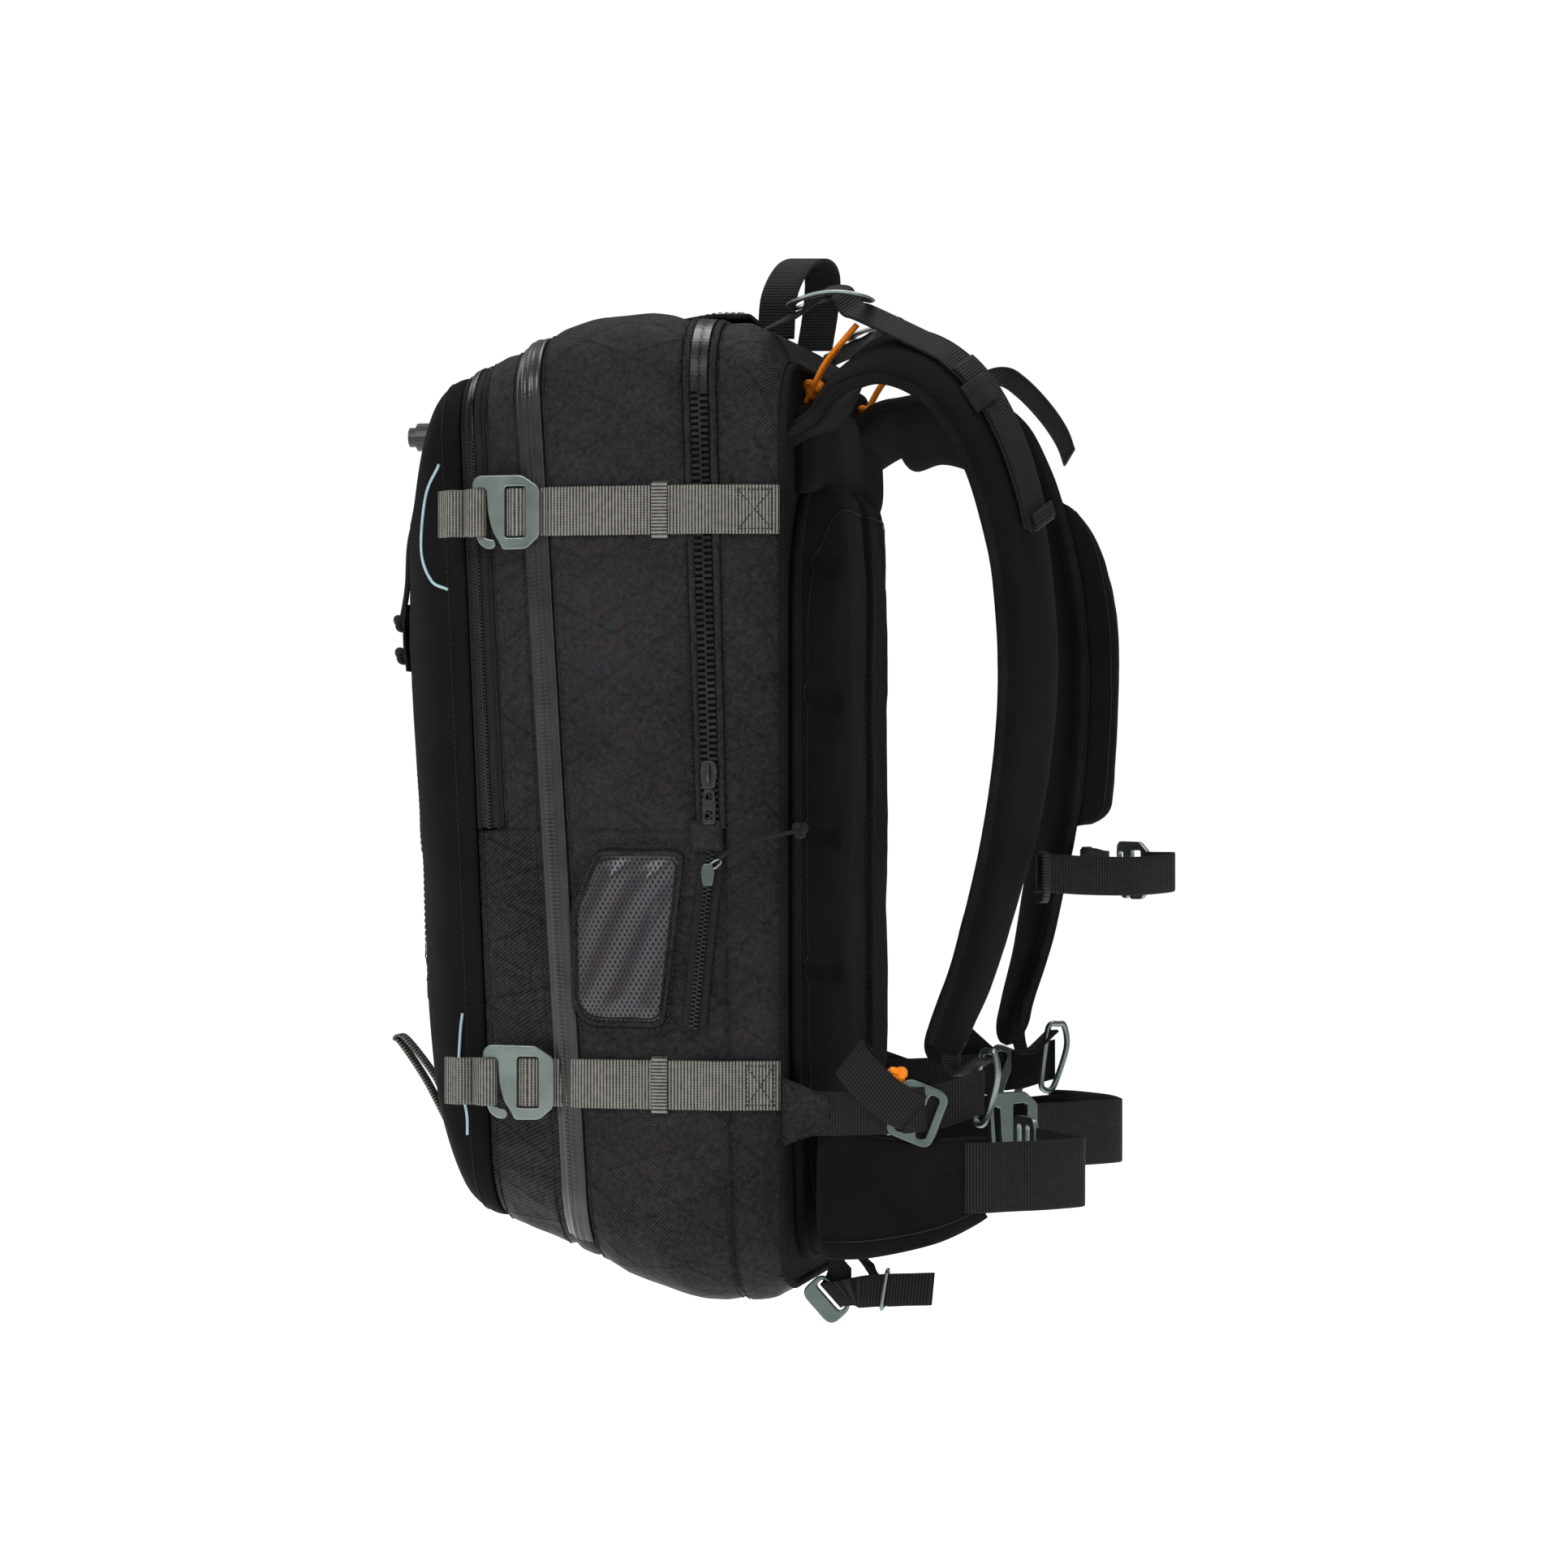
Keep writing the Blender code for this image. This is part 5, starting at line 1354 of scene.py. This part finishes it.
def make_bowed_buckle(name, centre):
    """The load lifter's buckle: a flat ring with a bar across it, bowed along the webbing."""
    outline = resample(np.array(fillet(rectangle(0.0400, 0.0250), 0.0090, 8)), 0.0010)
    outline = np.vstack([outline, outline[:1]])
    bar = np.stack([np.zeros(26), np.linspace(-0.0125, 0.0125, 26)], -1)
    for label, line, width in (("ring", outline, 0.0025), ("bar", bar, 0.0022)):
        x, y = line[:, 0], line[:, 1]
        bow = 0.0042 * (1 - (x / 0.02) ** 2) + 0.08 * x - 0.0016
        path = centre + np.stack([x, y, bow], -1)
        along = np.gradient(line, axis=0)
        flat = unit(np.stack([-along[:, 1], along[:, 0], np.zeros(len(line))], -1))
        turn = np.arange(16) * 2 * math.pi / 16
        rings = path[:, None] + flat[:, None] * (width * np.cos(turn))[None, :, None] \
            + np.array((0, 0, 0.0013)) * np.sin(turn)[None, :, None]
        nodes = [f"lifter_buckle_{name}"] if label == "ring" else []
        skin(f"lifter_{label}_{name}", rings, "anodised_metal", "pack", nodes, wrap=True,
             caps=label == "bar")


def make_strap_band(name, side, station, half_width, material, thickness, reach):
    """A band sewn across the outer face of a shoulder strap."""
    stations = np.array((station - 0.02, station, station + 0.02))
    lateral, medial, normal = strap_frame(side, stations)
    centre, across = (lateral + medial)[1] / 2, (medial - lateral)[1] / 2
    along = unit((lateral + medial)[2] - (lateral + medial)[0])
    share = np.linspace(-reach, reach, 41)
    rise = STRAP_FOAM / 2 * np.sqrt(np.clip(1 - np.abs(share) ** 3.2, 0, 1)) + 0.0012
    rise = rise + 0.0058 * np.exp(-(share / 0.30) ** 4)
    path = centre + across * share[:, None] + normal[1] * rise[:, None]
    strip(name, path, along * half_width, thickness, material, "pack")


def make_lower_adjuster(name, side):
    """The strap's lower end: its tab and ring, the webbing to the pack, and a ladder buckle."""
    path = smooth_path(mirrored([
        (-0.0190, 0.1345, -0.1665), (-0.0020, 0.1380, -0.1660), (0.0120, 0.1425, -0.1655),
        (0.0330, 0.1492, -0.1640), (0.0420, 0.1512, -0.1636), (0.0450, 0.1545, -0.1630),
        (0.0475, 0.1556, -0.1626), (0.0510, 0.1553, -0.1622), (0.0545, 0.1548, -0.1618),
        (0.0570, 0.1515, -0.1612), (0.0640, 0.1475, -0.1600), (0.0770, 0.1395, -0.1555),
        (0.0805, 0.1365, -0.1545), (0.0818, 0.1340, -0.1540)], side), 6)
    strip(f"adjuster_webbing_{name}", path, (0, 0, 0.0112), WEBBING, "black_webbing", "pack",
          [f"lower_webbing_{name}"])
    base = mirrored([(-0.0210, 0.1352, -0.1480), (0.0060, 0.1412, -0.1580),
                     (0.0060, 0.1412, -0.1730), (-0.0210, 0.1352, -0.1830)], side)
    patch(f"adjuster_anchor_{name}", base, "side_fabric", 0.0006)
    middle = (0.0515, side * 0.1535, -0.1640)
    plate(f"ladder_plate_{name}",
          [rectangle(0.0250, 0.0300), rectangle(0.0055, 0.0225, (-0.0055, 0)),
           rectangle(0.0055, 0.0225, (0.0055, 0))],
          0.0024, "dark_metal", axes_matrix((0.93, 0, -0.36), (0.36, 0, 0.93), middle), "pack",
          [f"ladder_buckle_{name}"], 0.0060, 0.0007)
    ring = [(0, 0.0180), (0.0030, 0.0170), (0.0045, 0.0060), (0.0010, -0.0080),
            (-0.0030, -0.0180), (-0.0070, -0.0185), (-0.0085, -0.0130), (-0.0060, 0.0100),
            (-0.0040, 0.0175)]
    centre = np.array((0.0845, side * 0.1310, -0.1520))
    points = np.array([centre + (a, side * a * 0.8, b) for a, b in ring])
    points = smooth_path(np.vstack([points, points[:1]]), 6)[:-1]
    tube(f"strap_wire_{name}", points, 0.0017, "steel_wire", "pack", [f"strap_ring_{name}"],
         closed=True, sides=14)
    lateral, medial, normal = strap_frame(side, np.array((14.3, 14.7, 15.0)))
    middle = (lateral + medial) / 2
    tab = smooth_path([middle[0] + normal[0] * 0.0056, middle[1] + normal[1] * 0.0052,
                       middle[2] + normal[2] * 0.0034 + (0.0080, 0, -0.0040),
                       centre + (-0.0030, 0, 0.0140)], 6)
    across = unit(medial[1] - lateral[1]) * 0.0085
    strip(f"strap_end_tab_{name}", tab, across, 0.0018, "black_webbing", "pack")
    tail = smooth_path(mirrored([
        (0.0500, 0.1565, -0.1640), (0.0400, 0.1565, -0.1590), (0.0310, 0.1560, -0.1515),
        (0.0230, 0.1550, -0.1440), (0.0180, 0.1530, -0.1385), (0.0165, 0.1495, -0.1365),
        (0.0190, 0.1470, -0.1390), (0.0240, 0.1465, -0.1440)], side))
    strip(f"adjuster_tail_{name}", tail, (0.0066, 0, 0.0084), 0.0014, "black_webbing", "pack")


def make_trigger():
    """Zipped pocket on the left strap, and the orange pull handle that stands in it."""
    side = 1
    stations = np.linspace(6.6, 11.2, 90)
    lateral, medial, normal = strap_frame(side, np.linspace(0, 15, 601))
    marks = np.linspace(0, 15, 601)

    def at(values):
        return np.stack([np.interp(stations, marks, values[:, k]) for k in range(3)], -1)

    lateral, medial, normal = at(lateral), at(medial), unit(at(normal))
    middle, half = (lateral + medial) / 2, (medial - lateral) / 2
    across = np.sin(np.linspace(-1, 1, 41) * math.pi / 2)
    share = (stations - stations[0]) / (stations[-1] - stations[0])
    ends = np.clip(np.minimum(share / 0.35, (1 - share) / 0.07), 0, 1)
    ends = np.sqrt(1 - (1 - ends) ** 2)
    shape = np.sqrt(np.clip(1 - np.abs(across) ** 4, 0, 1))
    lift = 0.0050 + 0.0215 * ends[:, None] * shape[None, :]
    points = middle[:, None] + half[:, None] * (across * 0.88)[None, :, None] \
        + normal[:, None] * lift[..., None]
    dents = 0.0008 * fractal(points * 35, 61) * shape[None, :]
    points = points + normal[:, None] * dents[..., None]
    skin("trigger_cover", points, "strap_fabric", "pack", ["trigger_pocket"], thickness=0.0012,
         offset=0.0)
    normals = grid_normals(points, False, middle.mean(0))
    for label, column in (("lateral", 6), ("medial", 34)):
        line, out = points[4:-4, column], normals[4:-4, column]
        stitches(f"trigger_stitches_{label}", line + out * 0.0006, out, "pack")
    column = 11
    line, out = points[6:-6, column], normals[6:-6, column]
    zip_teeth("trigger_zip_coil", line + out * 0.0008, out, "pack", 0.0017, 0.0042, 0.0012, 0.0011)
    base, out = strap_points(side, (9.3,), STRAP_FOAM / 2 + 0.0070)
    base, out = Vector(base[0]), Vector(out[0])
    down = Vector((0, 0, -1))
    outline = [(-0.009, 0.034), (0.009, 0.034), (0.0095, -0.010), (0.0125, -0.030),
               (0.0100, -0.036), (-0.0100, -0.036), (-0.0125, -0.030), (-0.0095, -0.010)]
    plate("trigger_grip", [outline, rectangle(0.0085, 0.0300, (0, -0.010))], 0.0060,
          "trigger_orange", axes_matrix(out.cross(down), -down, base), "trigger_handle",
          ["trigger_handle"], 0.0040, 0.0016)


# ---- sternum strap
def hook_outlines(scale_x, scale_y):
    return [[(x * scale_x, y * scale_y) for x, y in part] for part in (HOOK_EDGE, HOOK_SLOT)]


def make_sternum():
    z = -0.0455
    half = (0, 0, 0.0100)
    right = smooth_path([
        (0.1025, -0.0930, z), (0.1070, -0.0830, z), (0.1260, -0.0690, z - 0.0015),
        (0.1490, -0.0520, z - 0.002), (0.1640, -0.0300, z - 0.001), (0.1655, -0.0225, z),
        (0.1635, -0.0185, z), (0.1590, -0.0165, z), (0.1540, -0.0140, z), (0.1500, -0.0110, z),
        (0.1478, -0.0078, z)])
    strip("sternum_webbing_right", right, half, WEBBING,
          "black_webbing", "sternum_right", ["sternum_strap_right"])
    left = smooth_path([(0.1262, 0.0175, z), (0.1235, 0.0250, z), (0.1150, 0.0480, z + 0.001),
                        (0.1060, 0.0820, z), (0.1025, 0.0930, z)])
    strip("sternum_webbing_left", left, half, WEBBING, "black_webbing",
          "sternum_left", ["sternum_strap_left"])
    start, end = Vector((0.1510, -0.0100, z)), Vector((0.1270, 0.0200, z))
    plate("sternum_hook_plate", hook_outlines(0.80, 0.80), 0.0024, "anodised_metal",
          axes_matrix(start - end, (0, 0, 1), start), "sternum_left", ["sternum_hook"], 0.0020)
    for name, side, body in (("right", -1, "sternum_right"), ("left", 1, "sternum_left")):
        spot = np.array((0.1035, side * 0.0905, z))
        path = smooth_path([spot + (0.0010, 0, -0.0145), spot + (0.0036, 0, -0.0130),
                            spot + (0.0040, 0, 0), spot + (0.0036, 0, 0.0095),
                            spot + (0.0010, 0, 0.0103)], 6)
        strip(f"sternum_loop_{name}", path, (0.001, 0.0050, 0), 0.0015,
              "black_webbing", body, pitch=0.001)


# ---- hip belt and leg strap
HIP_STATIONS = (
    (0.0035, -0.0760, -0.2365, -0.1780),
    (-0.0005, -0.1100, -0.2385, -0.1745),
    (0.0040, -0.1330, -0.2380, -0.1735),
    (0.0270, -0.1450, -0.2355, -0.1765),
    (0.0590, -0.1510, -0.2275, -0.1785),
    (0.0790, -0.1510, -0.2180, -0.1770),
    (0.0900, -0.1480, -0.2100, -0.1780),
)


def make_hip_wing(name, side):
    rail = smooth_path([(x, -side * y, low) for x, y, low, _ in HIP_STATIONS], 20)
    high = smooth_path([(x, -side * y, top) for x, y, _, top in HIP_STATIONS], 20)
    normal = unit(np.cross(high - rail, heading(rail + high))) * side
    rings = pad_rings(rail, high, normal, 0.0105)
    rings = soften(tapered_ends(rings, 5, 14), 0.0008, 71)
    bend = ("pack", f"hip_{name}", (-0.006, side * 0.118, -0.20), (0.010, side * 0.142, -0.20))
    pad = skin(f"hip_pad_{name}", rings, "strap_fabric", bend, [f"hip_wing_{name}"], wrap=True,
               caps=True)
    for label, edge in (("low", -1), ("high", 1)):
        rim = between(rail, high, edge * 0.99)
        tube(f"hip_binding_{name}_{label}", rim[3:-10], EDGE_RIM, "binding", bend)
    line = rail + (high - rail) * 0.12 + normal * 0.0049
    stitches(f"hip_stitches_{name}", line[8:-16], normal[8:-16], bend)


def make_hip_belt():
    for name, side in SIDES.items():
        make_hip_wing(name, side)
    z = -0.1955
    right = smooth_path([
        (0.0760, -0.1570, z), (0.0880, -0.1535, z), (0.0970, -0.1450, z), (0.1130, -0.1330, z),
        (0.1275, -0.1150, z), (0.1290, -0.1080, z), (0.1265, -0.0990, z), (0.1180, -0.0860, z),
        (0.1020, -0.0600, z), (0.0965, -0.0520, z), (0.0940, -0.0480, z)])
    strip("hip_webbing_strip_right", right, (0, 0, 0.0175), 0.0017,
          "black_webbing", "hip_right", ["hip_webbing_right"], pitch=0.002)
    z = -0.1900
    left = smooth_path([
        (0.0760, 0.1570, z), (0.0880, 0.1530, z), (0.0970, 0.1450, z), (0.1130, 0.1250, z),
        (0.1225, 0.1010, z), (0.1225, 0.0890, z), (0.1060, 0.0680, z), (0.0860, 0.0480, z),
        (0.0815, 0.0430, z)])
    strip("hip_webbing_strip_left", left, (0, 0, 0.0175), 0.0017,
          "black_webbing", "hip_left", ["hip_webbing_left"], pitch=0.002)
    plate("hip_ladder_plate", [rectangle(0.0300, 0.0450), rectangle(0.0065, 0.0360, (-0.006, 0)),
                               rectangle(0.0065, 0.0360, (0.006, 0))],
          0.0030, "anodised_metal",
          axes_matrix((0.45, -0.8, 0), (0, 0, 1), (0.0905, -0.0420, -0.1955)), "hip_right",
          ["hip_buckle"], 0.0070)
    plate("hip_hook_plate", hook_outlines(1.0, 1.1), 0.0028, "dark_metal",
          axes_matrix((0.55, 0.8, 0), (0, 0, 1), (0.0840, 0.0450, -0.1860)), "hip_left",
          ["hip_hook"], 0.0024)


def make_leg_strap():
    """The safety leg loop: webbing folded through a plate, with a wire slider on its tail."""
    path = smooth_path([
        (0.0030, -0.0990, -0.2420), (0.0028, -0.0990, -0.2485), (0.0012, -0.0990, -0.2562),
        (-0.0006, -0.0994, -0.2597), (-0.0014, -0.1020, -0.2615), (-0.0006, -0.1046, -0.2608),
        (0.0062, -0.1052, -0.2600), (0.0240, -0.1062, -0.2580), (0.0420, -0.1056, -0.2572),
        (0.0500, -0.1046, -0.2570), (0.0508, -0.1028, -0.2570), (0.0490, -0.1016, -0.2572),
        (0.0400, -0.1024, -0.2576), (0.0290, -0.1034, -0.2582)])
    along = smoothstep((path[:, 0] - 0.004) / 0.012)[:, None] * (path[:, 1:2] < -0.1)
    half = np.array((0.0055, 0, -0.0060)) * (1 - along) + np.array((-0.0008, 0, -0.0084)) * along
    strip("leg_webbing", path, half, 0.0014, "black_webbing", "leg_strap", ["leg_strap"],
          pitch=0.0012)
    tail = smooth_path([(0.0140, -0.0980, -0.2405), (0.0160, -0.0990, -0.2450),
                        (0.0205, -0.1010, -0.2500), (0.0255, -0.1046, -0.2560)])
    strip("leg_webbing_root", tail, (0.0062, 0, -0.0052), 0.0014,
          "black_webbing", "leg_strap", pitch=0.0012)
    fold, across = (0.0055, 0, -0.0060), (0.0060, 0, 0.0055)
    plate("leg_hook_plate",
          [rectangle(0.0240, 0.0160), rectangle(0.0182, 0.0052, (0, 0.0034))], 0.0026,
          "dark_metal", axes_matrix(fold, across, (-0.0039, -0.1020, -0.2635)), "leg_strap",
          ["leg_hook"], 0.0060, 0.0008)
    ring = np.array(fillet([(-0.0020, -0.0100), (0.0020, -0.0100), (0.0020, 0.0100),
                            (-0.0020, 0.0100)], 0.0015, 4))
    ring = np.stack([0.0268 + 0.16 * ring[:, 1], -0.1052 + ring[:, 0] * 1.3,
                     -0.2575 + ring[:, 1]], -1)
    tube("leg_wire_slider", ring, 0.0010, "steel_wire", "leg_strap", closed=True)


# ---- back
BACK_PROFILE = (
    (-0.2520, -0.0110), (-0.2420, -0.0030), (-0.1600, -0.0015), (-0.1500, 0.0),
    (0.1500, 0.0), (0.1660, -0.0100), (0.2050, -0.0130), (0.2080, -0.0160),
)


def make_back():
    """The rear wall's cloth, sewn to the gusset round its edge, and the foam panel on it."""
    rim = section(REAR_GUSSET[1])
    shares = np.sin(np.linspace(1, 0.0008, 40) * math.pi / 2)
    middle = np.array((REAR_GUSSET[1], 0.0, rim[:, 2].mean()))
    points = middle + (rim - middle) * shares[:, None, None]
    points[..., 0] += 0.0032 * np.sqrt(1 - shares ** 6)[:, None]
    skin("rear_wall_cloth", points, "strap_fabric", "pack", ["back_panel"], wrap=True,
         thickness=0.0012, offset=0.0)
    tube("rear_seam_binding", rim + (0.0010, 0, 0), 0.0021, "binding", "pack", closed=True)
    make_back_foam()
    make_yoke()
    sheet_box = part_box("frame_sheet")
    wall = [(sheet_box[0][0] - 0.0006, y, z) for y, z in
            ((-0.124, -0.244), (0.124, -0.244), (0.124, 0.200), (-0.124, 0.200))]
    patch("inner_back_lining", wall, "lining", 0.0010, stitched=False, count=40)


def foam_face(y, z):
    """x of the foam's outer face: flat in the middle, channelled, and sloping to its sides."""
    face = np.interp(z, *zip(*BACK_PROFILE))
    fall = np.clip((np.abs(y) - 0.050) / 0.074, 0, 1)
    face = face - 0.0155 * fall ** 1.6
    channel = 0.0040 * np.exp(-(y / 0.0085) ** 4)
    ribs = sum(0.0030 * np.exp(-((z - level - 0.10 * np.abs(y)) / 0.0050) ** 4)
               for level in (-0.175, -0.105, -0.035, 0.035, 0.105))
    ribs = ribs * smoothstep((np.abs(y) - 0.066) / 0.014)
    return face - np.maximum(channel, ribs * 0.8)


def make_back_foam():
    outline = np.array(fillet([(-0.112, -0.244), (0.112, -0.244), (0.124, -0.130),
                               (0.124, 0.120), (0.086, 0.163), (-0.086, 0.163),
                               (-0.124, 0.120), (-0.124, -0.130)], 0.034, 10))
    outline = resample(np.vstack([outline, outline[:1]]), 0.0030)[:-1]
    centre = np.array((0.0, -0.040))
    shares = np.sin(np.linspace(1, 0.015, 70) * math.pi / 2)
    rings = []
    for share in shares:
        flat = centre + (outline - centre) * share
        y, z = flat[:, 0], flat[:, 1]
        crown = np.sqrt(max(0.0, 1 - share ** 14))
        x = -0.0175 + (foam_face(y, z) + 0.0175) * crown
        rings.append(np.stack([x, y, z], -1))
    front = np.array(rings)
    normals = grid_normals(front, True, (-0.05, 0, -0.04))
    front = front + normals * (0.0006 * fractal(front * 30, 81)
                               * smoothstep((1 - shares) / 0.1)[:, None])[..., None]
    back = front[:1] * 1.0
    back[..., 0] = -0.0185
    points = np.concatenate([back, front])
    pad = skin("back_foam_pad", points, "back_foam", "pack", ["back_panel"], wrap=True, caps=True)
    rim = np.stack([np.full(len(outline), -0.0158), outline[:, 0] * 0.998,
                    outline[:, 1] * 0.998], -1)
    tube("back_foam_binding", rim, 0.0026, "binding", "pack", closed=True)
    row = int(np.argmin(np.abs(shares - 0.90)))
    path = np.vstack([front[row], front[row, :1]])
    out = np.vstack([normals[row], normals[row, :1]])
    stitches("back_foam_stitches", path, out, "pack")
    for k, side in enumerate((-1, 1)):
        z = np.linspace(-0.205, 0.110, 150)
        y = np.full(150, side * 0.0125)
        path = np.stack([foam_face(y, z) + 0.0004, y, z], -1)
        stitches(f"back_channel_stitches_{k + 1}", path, (1.0, 0, 0), "pack")


YOKE = (  # low and high edge of the padding between the strap roots
    ((-0.0210, -0.1100, 0.1480), (-0.0210, -0.1100, 0.1860)),
    ((-0.0160, -0.1000, 0.1490), (-0.0180, -0.1000, 0.1940)),
    ((-0.0150, -0.0600, 0.1520), (-0.0180, -0.0600, 0.1980)),
    ((-0.0150, 0.0000, 0.1530), (-0.0180, 0.0000, 0.1980)),
    ((-0.0150, 0.0600, 0.1520), (-0.0180, 0.0600, 0.1980)),
    ((-0.0160, 0.1000, 0.1490), (-0.0180, 0.1000, 0.1940)),
    ((-0.0210, 0.1100, 0.1480), (-0.0210, 0.1100, 0.1860)),
)


def make_yoke():
    """The padding that the strap roots are sewn to, above the back foam."""
    low, high = (smooth_path([pair[k] for pair in YOKE], 12) for k in (0, 1))
    normal = unit(np.cross(heading(low + high), high - low))
    rings = pad_rings(low, high, normal, 0.0150)
    skin("strap_yoke", tapered_ends(rings, 4, 4), "strap_fabric", "pack", wrap=True, caps=True)


# ---- inside the bag
def make_airbag():
    """The folded balloon: a pleated horseshoe over the top and down both sides."""
    route = fillet([(-0.107, -0.012), (-0.107, 0.203), (0.107, 0.203), (0.107, -0.012)], 0.052,
                   10)
    start, end = (-0.107, -0.0115), (0.107, -0.0115)
    route = [start] + [p for p in route if p[1] > 0.02] + [end]
    line = resample(np.array(route), 0.0022)
    centre = np.stack([np.full(len(line), -0.0520), line[:, 0], line[:, 1]], -1)
    tangent = heading(centre)
    side = np.cross(tangent, (1.0, 0, 0))
    turn = np.arange(120) * 2 * math.pi / 120
    depth = np.sign(np.cos(turn)) * np.abs(np.cos(turn)) ** 0.4 * 0.0185
    width = np.sign(np.sin(turn)) * np.abs(np.sin(turn)) ** 0.5 * 0.0200
    pleat = 0.0012 * np.cos(depth / 0.0185 * math.pi * 4.5)
    width = width * (1 + pleat / 0.020)
    points = centre[:, None] + side[:, None] * width[None, :, None] \
        + np.array((1.0, 0, 0)) * depth[None, :, None]
    points = tapered_ends(points, 6, 6)
    middle = points.mean(1, keepdims=True)
    swell = 0.0010 * fractal(points * np.array((60, 16, 16)), 91)
    points = points + unit(points - middle) * (swell - 0.0010)[..., None]
    folded = skin("airbag_pleats", points, "airbag_fabric", "pack", ["airbag_folded"], wrap=True,
                  caps=True)


NODE_MATERIALS = {
    "frame_sheet": "frame_plastic", "cord_lock_barrel": "black_plastic",
    "cord_lock_button": "black_plastic", "fan_housing": "black_plastic",
    "fan_motor": "anodised_metal", "outlet_duct": "black_plastic",
    "control_box": "black_plastic", "supercapacitor_pack": "capacitor_sleeve",
    "fan_impeller": "black_plastic", "power_switch": "trigger_orange",
}


def dress_cad_nodes():
    for name, material in NODE_MATERIALS.items():
        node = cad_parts[name]
        if not node.material_slots:
            node.data.materials.append(MATERIALS[material])
        for material_slot in node.material_slots:
            material_slot.material = MATERIALS[material]


# ---- cords
def make_cords():
    for name, side in SIDES.items():
        y = side * 0.080
        drop = LEFT_ARCH_DROP * 0.3 if side > 0 else 0.0
        for k, offset in enumerate((-0.0022, 0.0022)):
            points = [(-0.0190, y + offset, 0.1965), (-0.0150, y + offset, 0.2050),
                      (-0.0080, y + offset, 0.2180), (0.0010, y + offset * 0.8, 0.2290),
                      (0.0080, y + offset * 0.6, 0.2370 - drop)]
            cord(f"orange_loop_{name}_{k + 1}", points, 0.0014, "pack",
                 "orange_cord")
        knot(f"orange_knot_{name}", (-0.0150, y, 0.2040), 0.0062, "pack", "orange_cord")
    slider_top = on_side(*SIDE_SLIDER, -1, 0.0052)
    path = [slider_top + offset for offset in
            ((0.0062, 0, 0.0080), (0.0120, -0.0012, 0.0125), (0.0230, -0.0005, 0.0175),
             (0.0370, 0.0015, 0.0205), (0.0460, 0.0030, 0.0225))]
    pull_knot = knot("side_zip_cord_knot", slider_top + (0.0470, 0.0034, 0.0230), 0.0046,
                     "side_zip_slider", "black_cord")
    cord("side_zip_cord", path, 0.0011, "side_zip_slider")
    knot("adjuster_knot", (0.0410, -0.1510, -0.1455), 0.0056, "pack", "orange_cord")


# ---- camera, floor and lights
CAMERA_TURN = math.radians(11.0)
CAMERA_TARGET = Vector((-0.046, 0.0, 0.0))
CAMERA_DISTANCE = 2.4
FLOOR_Z = -0.4500  # below the opened lid
SKY = (0.05, 0.40)  # strength of the studio's light at the horizon and overhead


def make_camera():
    camera = bpy.data.objects.new("camera", bpy.data.cameras.new("camera"))
    camera.data.lens = 102.86
    camera.data.sensor_width = 36.0
    toward = Vector((math.sin(CAMERA_TURN), -math.cos(CAMERA_TURN), 0))
    camera.location = CAMERA_TARGET + toward * CAMERA_DISTANCE
    camera.rotation_euler = (-toward).to_track_quat("-Z", "Y").to_euler()
    bpy.context.scene.collection.objects.link(camera)
    bpy.context.scene.camera = camera


def area_light(name, place, size, power):
    light = bpy.data.lights.new(name, "AREA")
    light.shape = "RECTANGLE"
    light.size, light.size_y = size
    light.energy = power
    obj = bpy.data.objects.new(name, light)
    obj.location = place
    obj.rotation_euler = (CAMERA_TARGET - Vector(place)).to_track_quat("-Z", "Y").to_euler()
    bpy.context.scene.collection.objects.link(obj)


def make_studio():
    points = [(x, y, FLOOR_Z) for x, y in ((-9, -9), (9, -9), (9, 9), (-9, 9))]
    floor = mesh_from("floor", points, [(0, 1, 2, 3)])
    paper, _ = new_material("floor_paper", Roughness=0.9, Base_Color=(0.96, 0.96, 0.96, 1),
                            Emission_Color=(1, 1, 1, 1), Emission_Strength=0.80)
    floor.data.materials.append(paper)
    bpy.context.scene.collection.objects.link(floor)
    world = bpy.data.worlds.new("studio")
    world.use_nodes = True
    tree = world.node_tree
    seen = add(tree, "ShaderNodeLightPath").outputs["Is Camera Ray"]
    direction = add(tree, "ShaderNodeTexCoord").outputs["Generated"]
    height = add(tree, "ShaderNodeSeparateXYZ", {0: direction}).outputs[2]
    sky = add(tree, "ShaderNodeMapRange", {"Value": height, "To Min": SKY[0],
                                           "To Max": SKY[1]}).outputs[0]
    strength = maths(tree, "MAXIMUM", maths(tree, "MULTIPLY", seen, 1.02), sky)
    tree.links.new(strength, tree.nodes["Background"].inputs["Strength"])
    tree.nodes["Background"].inputs["Color"].default_value = (1, 1, 1, 1)
    bpy.context.scene.world = world
    area_light("key", (-1.1, -1.9, 1.6), (0.8, 0.8), 30)
    area_light("side_strip", (1.2, -1.9, 0.5), (0.25, 1.6), 8)
    area_light("top", (0.1, 0.2, 2.2), (1.6, 1.6), 45)
    area_light("rim", (-1.6, 0.9, 0.9), (0.6, 1.6), 5)
    bpy.context.scene.view_settings.view_transform = "Standard"


make_camera()
make_cords()
make_panels()
front_surface = make_front()
make_airbag_zip()
make_main_zip()
make_front_zip()
make_sliders()
make_mesh_window()
make_side_zip()
make_strap_patches()
make_ski_straps()
make_top()
make_front_fittings(*front_surface)
for strap_name, strap_side in SIDES.items():
    make_shoulder_strap(strap_name, strap_side)
    make_load_lifter(strap_name, strap_side)
    make_lower_adjuster(strap_name, strap_side)
make_trigger()
make_sternum()
make_hip_belt()
make_leg_strap()
make_back()
make_airbag()
dress_cad_nodes()
make_studio()

bpy.context.view_layer.update()
